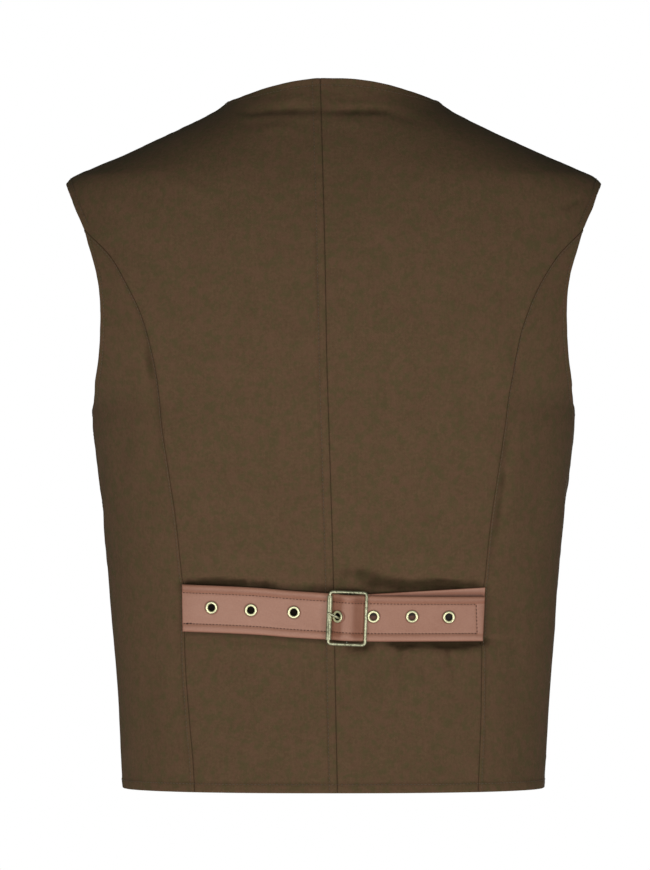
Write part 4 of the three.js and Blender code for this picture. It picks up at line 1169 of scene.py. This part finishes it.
def strapShell(name, node, layout, path, thick, relief, marksOf):
    # A strap from the path of its middle layer; relief is how far its face stands out or in across it.
    half = belt["width"] / 2
    fine = np.array([0, *edgePlaces])
    across = np.concatenate([-half + fine, np.arange(-half + 1.6, half - 1.2, 0.8), half - fine[::-1]])
    lengths = lengthsAlong(path)
    ends = np.minimum(lengths, lengths[-1] - lengths)
    edge = np.minimum(ends[:, None], (half - np.abs(across))[None, :])
    over = roundOver(edge, thick / 2) * thick / 2
    over[0], over[-1], over[:, 0], over[:, -1] = 0, 0, 0, 0
    out = pathNormals(path)
    lift = relief(path[:, :1], across[None, :]) * smoothStep(0.0, 1.2, edge)

    def layer(offset):
        along = path[:, :1] + out[:, :1] * offset
        above = path[:, 1:] + out[:, 1:] * offset
        return layout(along, np.broadcast_to(across[None, :], along.shape), above)

    upper, lower = layer(over + lift), layer(-over + np.minimum(lift, 0) * 0.4)
    uv = np.stack(np.broadcast_arrays(lengths[:, None], across[None, :] + half), axis=-1)
    groove, edgeMark = marksOf(path[:, :1], across[None, :], edge)
    points, faces, flat, marks = shell(upper, lower, uv, {"groove": groove, "edge": edgeMark})
    piece = addMesh(name, points, faces, leather, "leather", flat, marks)
    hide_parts(node)
    return piece, upper, across


eyelet = {
    "flange": 5.3, "hole": 3.2, "barrel": 3.6, "cut": 3.9, "rise": 0.62, "sides": 48, "proud": 0.26,
    "rimShade": 0.78, "holeShade": 0.6,
}
strapMarks = {
    "stitch": 0.17, "stitchWidth": 0.6, "band": 0.26, "lowerBand": 0.25, "crest": 0.17, "byRoller": 0.24,
    "byWire": 0.25, "sheen": 0.09, "freeEnd": 0.10, "flange": 0.62, "upperEdge": 0.35, "lowerEdgeShade": 0.85,
    "brownHole": 0.54, "holeTop": 0.40, "darkHole": 1.18, "underStrap": 0.62, "shortSheen": 0.15,
    "shortWear": 0.5,
}


def endLineAt(across):
    # Where the stitches across the free end lie: they lean, closer to the end at the lower edge.
    low, high = belt["endStitch"]
    return belt["freeEnd"] - (low + (high - low) * (across / belt["width"] + 0.5))


def longRelief(along, across):
    # Puffed edges outside the stitches, which are pulled in; the upper edge is the fuller one.
    off = np.abs(across)
    share = np.clip((off - stitchLine) / belt["stitchAt"], 0, 1)
    puff = np.where(across > 0, belt["upperPuff"], belt["puff"]) * np.sin(np.pi * share) ** 0.8
    pastEnd = along - endLineAt(across)
    endShare = np.clip(pastEnd / (belt["freeEnd"] - endLineAt(across)), 0, 1)
    ends = belt["endPuff"] * np.sin(np.pi * endShare) * (off < stitchLine)
    stitches = -belt["stitchSink"] * bell(off - stitchLine, 0.8) * (pastEnd < 0.5)
    ending = -belt["endSink"] * bell(pastEnd, 0.8) * (off < stitchLine)
    spots = np.stack(np.broadcast_arrays(along, across, 0 * along), axis=-1)
    waves = belt["wave"] * softNoise(spots, 30, 71) + belt["smallWave"] * softNoise(spots, 7, 72)
    outside = smoothStep(stitchLine - 1, stitchLine + 1, off)
    puckers = belt["pucker"] * softNoise(spots * (1, 0.3, 1), 6, 73) * outside
    return puff + ends + stitches + ending + waves + puckers


def longMarks(along, across, edge):
    m, line, width = strapMarks, stitchLine, strapMarks["stitchWidth"]
    off, pastEnd = np.abs(across), along - endLineAt(across)
    groove = np.maximum(m["stitch"] * bell(off - line, width) * (pastEnd < 0.5),
                        m["stitch"] * bell(pastEnd, width) * (off < line))
    # Painted shade in a band outside the stitches and a painted highlight on the puffed edge's crest.
    band = m["band"] * smoothStep(line - 0.3, line + 0.8, off) * (1 - smoothStep(line + 2.5, line + 5, off))
    groove = np.maximum(groove, band * np.where(across > 0, 1, m["lowerBand"]))
    groove = groove - m["crest"] * bell(off - line - 5.3, 1.1)
    # Inside the frame: painted shade beside the roller and beside the far wire, and a painted highlight where
    # the strap bends over the middle bar.
    frameShadeAndHighlight = (m["byRoller"] * smoothStep(-3, -0.5, along) * (1 - smoothStep(6, 10, along))
            + m["byWire"] * smoothStep(13, 17, along) * (1 - smoothStep(26.5, 27.5, along))
            - m["sheen"] * bell(along - 11.2, 1.7))
    groove = groove + frameShadeAndHighlight + m["freeEnd"] * smoothStep(belt["freeEnd"] - 9, belt["freeEnd"], along)
    # Painted shade in a ring round each eyelet's flange.
    for place, above in holeRows:
        away = np.hypot(along - place, across - above)
        groove = np.maximum(groove, m["flange"] * bell(away - eyelet["flange"] - 0.2, 0.55))
    # Darker edges; the lower one is darker still as painted shade.
    return groove, np.where(across < 0, m["lowerEdgeShade"], m["upperEdge"]) * bell(edge, 0.7)


def placesAlong(stops):
    # From each (place, step) to the next, at about the later one's step.
    runs = [np.linspace(a[0], b[0], max(1, round((b[0] - a[0]) / b[1])) + 1)[(i > 0):]
            for i, (a, b) in enumerate(zip(stops, stops[1:]))]
    return np.concatenate(runs)


nearEnd, backFromEnd = np.array(edgePlaces), np.array(edgePlaces[::-1])
longStops = [(belt["longStart"] + 2, 0), (-20, 0.8), (35, 0.6), (belt["freeEnd"] - 8, 0.8),
             (belt["freeEnd"] - 1.6, 0.5)]
alongPlaces = np.concatenate([
    [belt["longStart"]], belt["longStart"] + nearEnd, placesAlong(longStops),
    belt["freeEnd"] - backFromEnd, [belt["freeEnd"]],
])
longPath = np.stack([alongPlaces, longAbove(alongPlaces)], axis=1)
longStrap, strapFace, strapAcross = strapShell(
    "belt_strap", "belt_long_strap", onLongStrap, longPath, belt["longThick"], longRelief, longMarks)


def eyeletAxes(along, above):
    near, height = 1.0, longAbove(along)
    ahead = onLongStrap(along + near, above, longAbove(along + near))
    behind = onLongStrap(along - near, above, longAbove(along - near))
    alongAxis = unit(ahead - behind)
    acrossAxis = unit(onLongStrap(along, above + near, height) - onLongStrap(along, above - near, height))
    outAxis = unit(np.cross(alongAxis, acrossAxis))
    return onLongStrap(along, above, height), alongAxis, np.cross(outAxis, alongAxis), outAxis


cutters = [lathe([(eyelet["cut"], -3), (eyelet["cut"], 4)], 40, *eyeletAxes(*row)) for row in holeRows]
booleanOf(longStrap, loosePiece(*joined(cutters)), "DIFFERENCE")

# The short strap runs under the long one, round the middle bar and back beneath itself.
loopRadius = buckle["bar"] + buckle["clear"] + belt["shortThick"] / 2
shortStops = [(-belt["shortEnd"] + 2, 0), (-35, 1.8), (-buckle["middle"], 0.8)]
shortPlaces = np.concatenate([[belt["shortEnd"]], belt["shortEnd"] - nearEnd, -placesAlong(shortStops)])
upperPath = np.stack([shortPlaces, longAbove(shortPlaces)], axis=1)
upperPath = upperPath + pathNormals(upperPath) * belt["spacing"]
upperPath[-1] = (buckle["middle"], buckle["barHeight"] + loopRadius)
turns = math.pi / 2 + math.pi * np.arange(1, 17) / 16
loop = np.stack([buckle["middle"] + loopRadius * np.cos(turns),
                 buckle["barHeight"] + loopRadius * np.sin(turns)], axis=1)
foldStart, foldEnd = foldProfile[0][0], foldProfile[-1][0]
foldPlaces = np.concatenate([placesAlong([(foldStart, 0), (30, 0.8), (foldEnd - 1.4, 1.6)]),
                             foldEnd - backFromEnd, [foldEnd]])
fold = np.stack([foldPlaces, throughRows(foldProfile)(foldPlaces)], axis=1)
shortPath = np.vstack([upperPath, loop, fold])


def shortRelief(along, across):
    share = np.clip((np.abs(across) - stitchLine) / belt["stitchAt"], 0, 1)
    clear = smoothStep(34, 70, along) * (across > 8)
    return clear * 0.3 * np.sin(np.pi * share) + 0.04 * np.sin(along * 0.4 + across * 0.3)


def shortMarks(along, across, edge):
    m, shortMiddle = strapMarks, throughRows(buckleStrapRows)
    shade = np.zeros(np.broadcast_shapes(along.shape, across.shape))
    # Painted shade down the eyelets' holes, brown at two of them and black at the rest, and a painted shadow
    # beneath the long strap's edge.
    for number, (place, above) in enumerate(holeRows):
        offset = strapMiddle(place) + above - shortMiddle(place)
        near = 1 - smoothStep(3.6, 5.5, np.hypot(along - place, across - offset))
        top = m["holeTop"] * smoothStep(-1.5, 3.2, across - offset)  # the hole's upper half lies in its shade
        shade = np.maximum(shade, near * (m["brownHole"] + top if number in (4, 5) else m["darkHole"]))
    over = across + shortMiddle(along) - strapMiddle(along) - 19.4
    shade = np.maximum(shade, m["underStrap"] * (1 - smoothStep(0, 6, over)) * (along > 30))
    # Painted highlight just inside the edges, and darker edges.
    return shade - m["shortSheen"] * bell(edge - 1.2, 0.7), m["shortWear"] * bell(edge, 0.5)


shortStrap, _, _ = strapShell(
    "belt_buckle_tab", "belt_buckle_strap", onShortStrap, shortPath, belt["shortThick"], shortRelief,
    shortMarks)
slot = onBuckle(buckle["middle"] + np.array([-1, 1, 1, -1, -1, 1, 1, -1]) * buckle["slotAlong"] / 2,
                prongRows[0][2] + np.array([-1, -1, 1, 1, -1, -1, 1, 1]) * buckle["slotAcross"] / 2,
                buckle["barHeight"] + np.array([-1, -1, -1, -1, 1, 1, 1, 1]) * buckle["slotDeep"] / 2)
slotFaces = [[0, 3, 2, 1], [4, 5, 6, 7], [0, 1, 5, 4], [1, 2, 6, 5], [2, 3, 7, 6], [3, 0, 4, 7]]
booleanOf(shortStrap, loosePiece(slot, slotFaces), "DIFFERENCE")

beltThread = {"pitch": 2.9, "length": 1.85, "radius": 0.34, "rise": 0.10, "sides": 6}
backTack = {"shifts": (-0.6, 0.5, 1.4), "start": 2.0, "length": 6, "rise": 0.18}


def strapLine(across, start, end):
    # A line along the long strap's face at one place across it.
    column = np.array([[np.interp(across, strapAcross, row[:, k]) for k in range(3)] for row in strapFace])
    here = (longPath[:, 0] >= start) & (longPath[:, 0] <= end)
    return column[here]


def stitchBelt():
    rows, start = stitchParts["leather"], belt["longStart"]
    for number, across in enumerate((-stitchLine, stitchLine)):
        line = strapLine(across, start + 0.5, endLineAt(across))
        wide = strapLine(across + 0.5, start + 0.5, endLineAt(across))
        rows.append(stitchRow(line, unit(np.cross(wayAlong(line), wide - line)), beltThread, 60 + number))
    here, places = np.abs(strapAcross) <= stitchLine, longPath[:, 0]
    endLine = np.array([[np.interp(endLineAt(across), places, strapFace[:, column, k]) for k in range(3)]
                        for column, across in zip(np.flatnonzero(here), strapAcross[here])])
    rows.append(stitchRow(endLine, formNormal(endLine), beltThread, 66))
    for shift in backTack["shifts"]:  # at the lower left
        tackStart = start + backTack["start"] + shift
        line = strapLine(-stitchLine + 0.3 * shift, tackStart, tackStart + backTack["length"])
        rows.append(stitchRow(line + formNormal(line) * backTack["rise"], formNormal(line), beltThread, 67))


stitchBelt()
print("belt made")


# Buckle, eyelets and buttons
middleBarRows = [  # place and thickness, as shares; it is thinner where it runs into the frame
    (-1, 0.6), (-0.95, 0.6), (-0.9, 0.7), (-0.84, 0.999), (0, 0.999), (0.84, 0.999), (0.9, 0.7), (0.95, 0.6),
    (1, 0.6),
]


def frameOutline(spacing):
    # The frame's rounded rectangle as (along, across) points.
    b, corners = buckle, []
    for alongSign, acrossSign, start in ((1, 1, 0), (-1, 1, 90), (-1, -1, 180), (1, -1, 270)):
        angle = np.radians(start + np.linspace(0, 90, 9))
        corners.append(np.stack([
            b["middle"] + alongSign * (b["halfWidth"] - b["corner"]) + b["corner"] * np.cos(angle),
            acrossSign * (b["halfHeight"] - b["corner"]) + b["corner"] * np.sin(angle)], axis=1))
    outline = np.vstack(corners)
    runs = []
    for a, c in zip(outline, np.roll(outline, -1, axis=0)):
        count = max(1, round(np.linalg.norm(c - a) / spacing))
        runs.append(a + (c - a) * (np.arange(count) / count)[:, None])
    return np.vstack(runs)


def addBuckleWire():
    b = buckle
    path = onBuckle(*frameOutline(1.5).T, b["barHeight"])
    # Hand-bent wire isn't quite even.
    radii = b["bar"] * (1 + b["wobble"] * softNoise(path, b["wobbleSize"], 81))
    wire = addMesh("buckle_wire", *tube(path, radii, b["sides"], buckleOut, closed=True), brass, "brass")
    across, thick = np.array(middleBarRows).T
    bar = onBuckle(b["middle"], across * (b["halfHeight"] - 0.2), b["barHeight"])
    booleanOf(wire, loosePiece(*tube(bar, b["bar"] * thick, b["sides"], buckleOut)), "UNION")
    # Painted shade: the middle bar is darkened up to where it meets the frame.
    made = np.array([vertex.co for vertex in wire.data.vertices])
    spots = made * 1000 + (0, 0, hemBelowOrigin) - buckleFoot
    barEnd = b["halfHeight"] - b["bar"]
    inside = 1 - smoothStep(barEnd, barEnd + 0.6, np.abs(spots @ buckleUp))
    setMark(wire.data, "paintedShade", b["paintedShade"] * inside * (np.abs(spots @ buckleAlong) < b["bar"] + 0.3))
    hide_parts("buckle_frame")


def addRoller():
    # A rolled sleeve whose edges meet in a line on its outer side.
    b, sides = buckle, buckle["rollerSides"]
    outer, inner, half = b["rollerOuter"], b["rollerInner"], b["rollerHalf"]
    angles = np.linspace(b["slit"], 2 * np.pi - b["slit"], sides)
    radii = np.full(sides, outer)
    radii[[0, -1]] = outer - 0.14
    radii[[1, -2]] = outer - 0.03
    section = np.concatenate([np.stack([radii * np.cos(angles), radii * np.sin(angles)], axis=1),
                              np.stack([inner * np.cos(angles), inner * np.sin(angles)], axis=1)[::-1]])
    lean = math.radians(b["slitLean"])
    turn = np.array([[math.cos(lean), -math.sin(lean)], [math.sin(lean), math.cos(lean)]])
    section = section @ turn.T
    levels = [(-half, 0.93), (-half + 0.12, 0.98), (-half + 0.35, 1),
              *[(z, 1) for z in np.linspace(-16, 16, 17)],
              (half - 0.35, 1), (half - 0.12, 0.98), (half, 0.93)]
    isOuter = np.arange(len(section)) < sides
    place = onBuckle(b["middle"] - b["halfWidth"], 0, b["barHeight"])
    rings = []
    for z, share in levels:
        scaled = section * np.where(isOuter, 1 - (1 - share) * 1.2, 1)[:, None]
        rings.append(place + scaled[:, :1] * buckleOut + scaled[:, 1:] * buckleAlong + z * buckleUp)
    count, size = len(rings), len(section)
    at = np.arange(count * size).reshape(count, size)
    faces = bandFaces(at[:-1], at[1:])
    for ring, flip in ((at[0], True), (at[-1], False)):
        for i in range(sides - 1):
            quad = [ring[i], ring[i + 1], ring[size - 2 - i], ring[size - 1 - i]]
            faces.append([int(k) for k in (quad[::-1] if flip else quad)])
    piece = addMesh("buckle_sleeve", np.vstack(rings), faces, brass, "brass")
    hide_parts("buckle_roller")


def addProng():
    b, half = buckle, buckle["prong"]
    inner = b["bar"] + b["clear"]
    outer = loopRadius + belt["shortThick"] / 2 - 0.15
    middle, thick = (inner + outer) / 2, (outer - inner) / 2
    angle = np.linspace(0, 2 * np.pi, 17)
    profile = np.stack([middle + thick * np.cos(angle), half * np.sin(angle)], axis=1)
    place = onBuckle(b["middle"], prongRows[0][2], b["barHeight"])
    ring = lathe(profile, 40, place, buckleOut, buckleAlong, buckleUp)
    path = smoothCurve(onBuckle(*np.array(prongRows)[:, [0, 2, 1]].T), fine=6)
    share = sharesOf(path)
    radii = half * (1 - 0.2 * bell(share, 0.08) - 0.35 * smoothStep(0.9, 1, share))
    piece = addMesh("buckle_tongue", *tube(path, radii, 20, buckleOut), brass, "brass")
    booleanOf(piece, loosePiece(*ring), "UNION")
    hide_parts("buckle_prong")


def addEyelets():
    e = eyelet
    face = belt["longThick"] / 2 + e["proud"]
    back = -belt["longThick"] / 2
    middle, half = (e["flange"] + e["hole"]) / 2, (e["flange"] - e["hole"]) / 2
    dome = [(middle + half * math.cos(a), face + 0.05 + e["rise"] * math.sin(a) ** 0.8)
            for a in np.linspace(0, np.pi, 11)]
    profile = [(e["hole"], back), (e["barrel"], back), (e["barrel"], face - 0.05),
               (e["flange"] - 0.1, face - 0.05), *dome, (e["hole"], face - 0.3), (e["hole"], back)]
    parts = [lathe(profile, e["sides"], *eyeletAxes(*row)) for row in holeRows]
    # Painted shade inside each hole and at the flange's outer edge.
    outwards = np.array([point[0] for point in profile[:-1]])
    rim = e["rimShade"] * smoothStep(e["flange"] - 0.42, e["flange"] - 0.05, outwards)
    dark = np.maximum(rim, e["holeShade"] * (outwards < e["hole"] + 0.05))
    paintedShade = np.tile(np.repeat(dark, e["sides"]), len(holeRows))
    piece = addMesh("belt_eyelets", *joined(parts), eyeletBrass, "brass", marks={"paintedShade": paintedShade})
    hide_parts(*(f"eyelet_{k}" for k in range(1, 8)))


buttonSides = 56
buttonProfile = [  # radius and height above the leather
    (0.05, 0.3), (7.6, 0.3), (8.3, 0.55), (8.5, 1.1), (8.5, 1.6), (8.25, 2.05), (7.7, 2.25), (7.1, 2.2),
    (6.7, 2.02), (6.3, 2.1), (5.6, 2.6), (4.4, 3.15), (2.8, 3.5), (1.3, 3.66), (0.05, 3.7),
]


def addButtons():
    parts = []
    for height in buttonHeights:
        place = facePoint(1, 0.0, float(height))
        out = formNormal(place)
        along = unit(np.cross((0, 0, 1), out))
        parts.append(lathe(buttonProfile, buttonSides, place, along, np.cross(out, along), out))
    piece = addMesh("front_buttons", *joined(parts), brass, "brass")
    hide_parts(*(f"front_button_{k}" for k in range(1, 6)))


addBuckleWire()
addRoller()
addProng()
addEyelets()
addButtons()
for slotName, material in (("cloth", clothThread), ("leather", leatherThread)):
    addMesh(f"{slotName}_stitching", *joined(stitchParts[slotName]), material, slotName)
print("metal and stitching made")


# Floor, backdrop and light
room = {
    "floor": -0.98, "radius": 1.9, "sides": 64, "fade": 0.9, "dark": (0.80, 0.80, 0.80),
    "light": (0.84, 0.84, 0.84), "glow": 0.35, "seen": 1.0, "ambient": 0.12, "cast": (0.80, 1.0, 0.98),
}


def addFloor(look):
    # A pale round floor that fades out into the white behind it.
    mesh = bpy.data.meshes.new("floor")
    turn = np.linspace(0, 2 * np.pi, look["sides"], endpoint=False)
    level = np.full(look["sides"], look["floor"] / look["radius"])
    ring = np.stack([np.cos(turn), np.sin(turn), level], axis=1) * look["radius"]
    mesh.from_pydata(ring.tolist(), [], [list(range(look["sides"]))])
    floor = bpy.data.objects.new("floor", mesh)
    bpy.context.scene.collection.objects.link(floor)
    s = newMaterial("pale_floor")
    place = s.place()
    flat = s.node("ShaderNodeVectorMath", {"operation": "MULTIPLY"}, {0: place, 1: (1, 1, 0)})
    away = s.node("ShaderNodeVectorMath", {"operation": "LENGTH"}, {0: flat}, output="Value")
    surface = s.node("ShaderNodeBsdfPrincipled", {}, {
        "Base Color": s.blend(s.noise(place, 3, 2), look["dark"], look["light"]), "Roughness": 0.9,
        "Emission Color": (1, 1, 1), "Emission Strength": look["glow"]})
    nothing = s.node("ShaderNodeBsdfTransparent")
    fade = s.spread(away, look["fade"], look["radius"])
    mixed = s.node("ShaderNodeMixShader", {}, {0: fade, 1: surface, 2: nothing})
    s.node("ShaderNodeOutputMaterial", {}, {"Surface": mixed})
    mesh.materials.append(s.owner)


def addBackdrop(look):
    # White where it is seen, and a faint light of its own on the vest.
    world = bpy.data.worlds.new("studio")
    bpy.context.scene.world = world
    s = Shader(world)
    seen = s.node("ShaderNodeBackground", {}, {"Color": (1, 1, 1), "Strength": look["seen"]})
    lit = s.node("ShaderNodeBackground", {}, {"Color": look["cast"], "Strength": look["ambient"]})
    isSeen = s.node("ShaderNodeLightPath", output="Is Camera Ray")
    mixed = s.node("ShaderNodeMixShader", {}, {0: isSeen, 1: lit, 2: seen})
    s.node("ShaderNodeOutputWorld", {}, {"Surface": mixed})


lamps = [  # name, place, aims at, width, height, power
    ("front_lamp", (-0.35, -3.2, -0.38), (0, 0, -0.33), 1.9, 1.5, 23.5),
    ("low_lamp", (0.3, -2.6, -1.2), (0, 0, -0.40), 1.6, 0.7, 9),
    ("left_lamp", (-1.75, -2.05, -0.95), (-0.1, 0, -0.45), 0.8, 1.1, 17),
    ("right_lamp", (1.75, -2.05, -0.95), (0.1, 0, -0.45), 0.8, 1.1, 16),
    ("far_lamp", (0.3, 3.2, -0.40), (0, 0, -0.33), 1.6, 1.0, 24),
]


def addLamps(rows):
    for name, place, aim, width, height, power in rows:
        data = bpy.data.lights.new(name, "AREA")
        data.shape, data.size, data.size_y, data.energy = "RECTANGLE", width, height, power
        lamp = bpy.data.objects.new(name, data)
        lamp.location = place
        way = Vector(aim) - Vector(place)
        lamp.rotation_euler = way.to_track_quat("-Z", "Y").to_euler()
        bpy.context.scene.collection.objects.link(lamp)


addFloor(room)
addBackdrop(room)
addLamps(lamps)
bpy.context.scene.view_settings.view_transform = "Standard"  # white stays white, as on the studio's backdrop
print("room and light made")
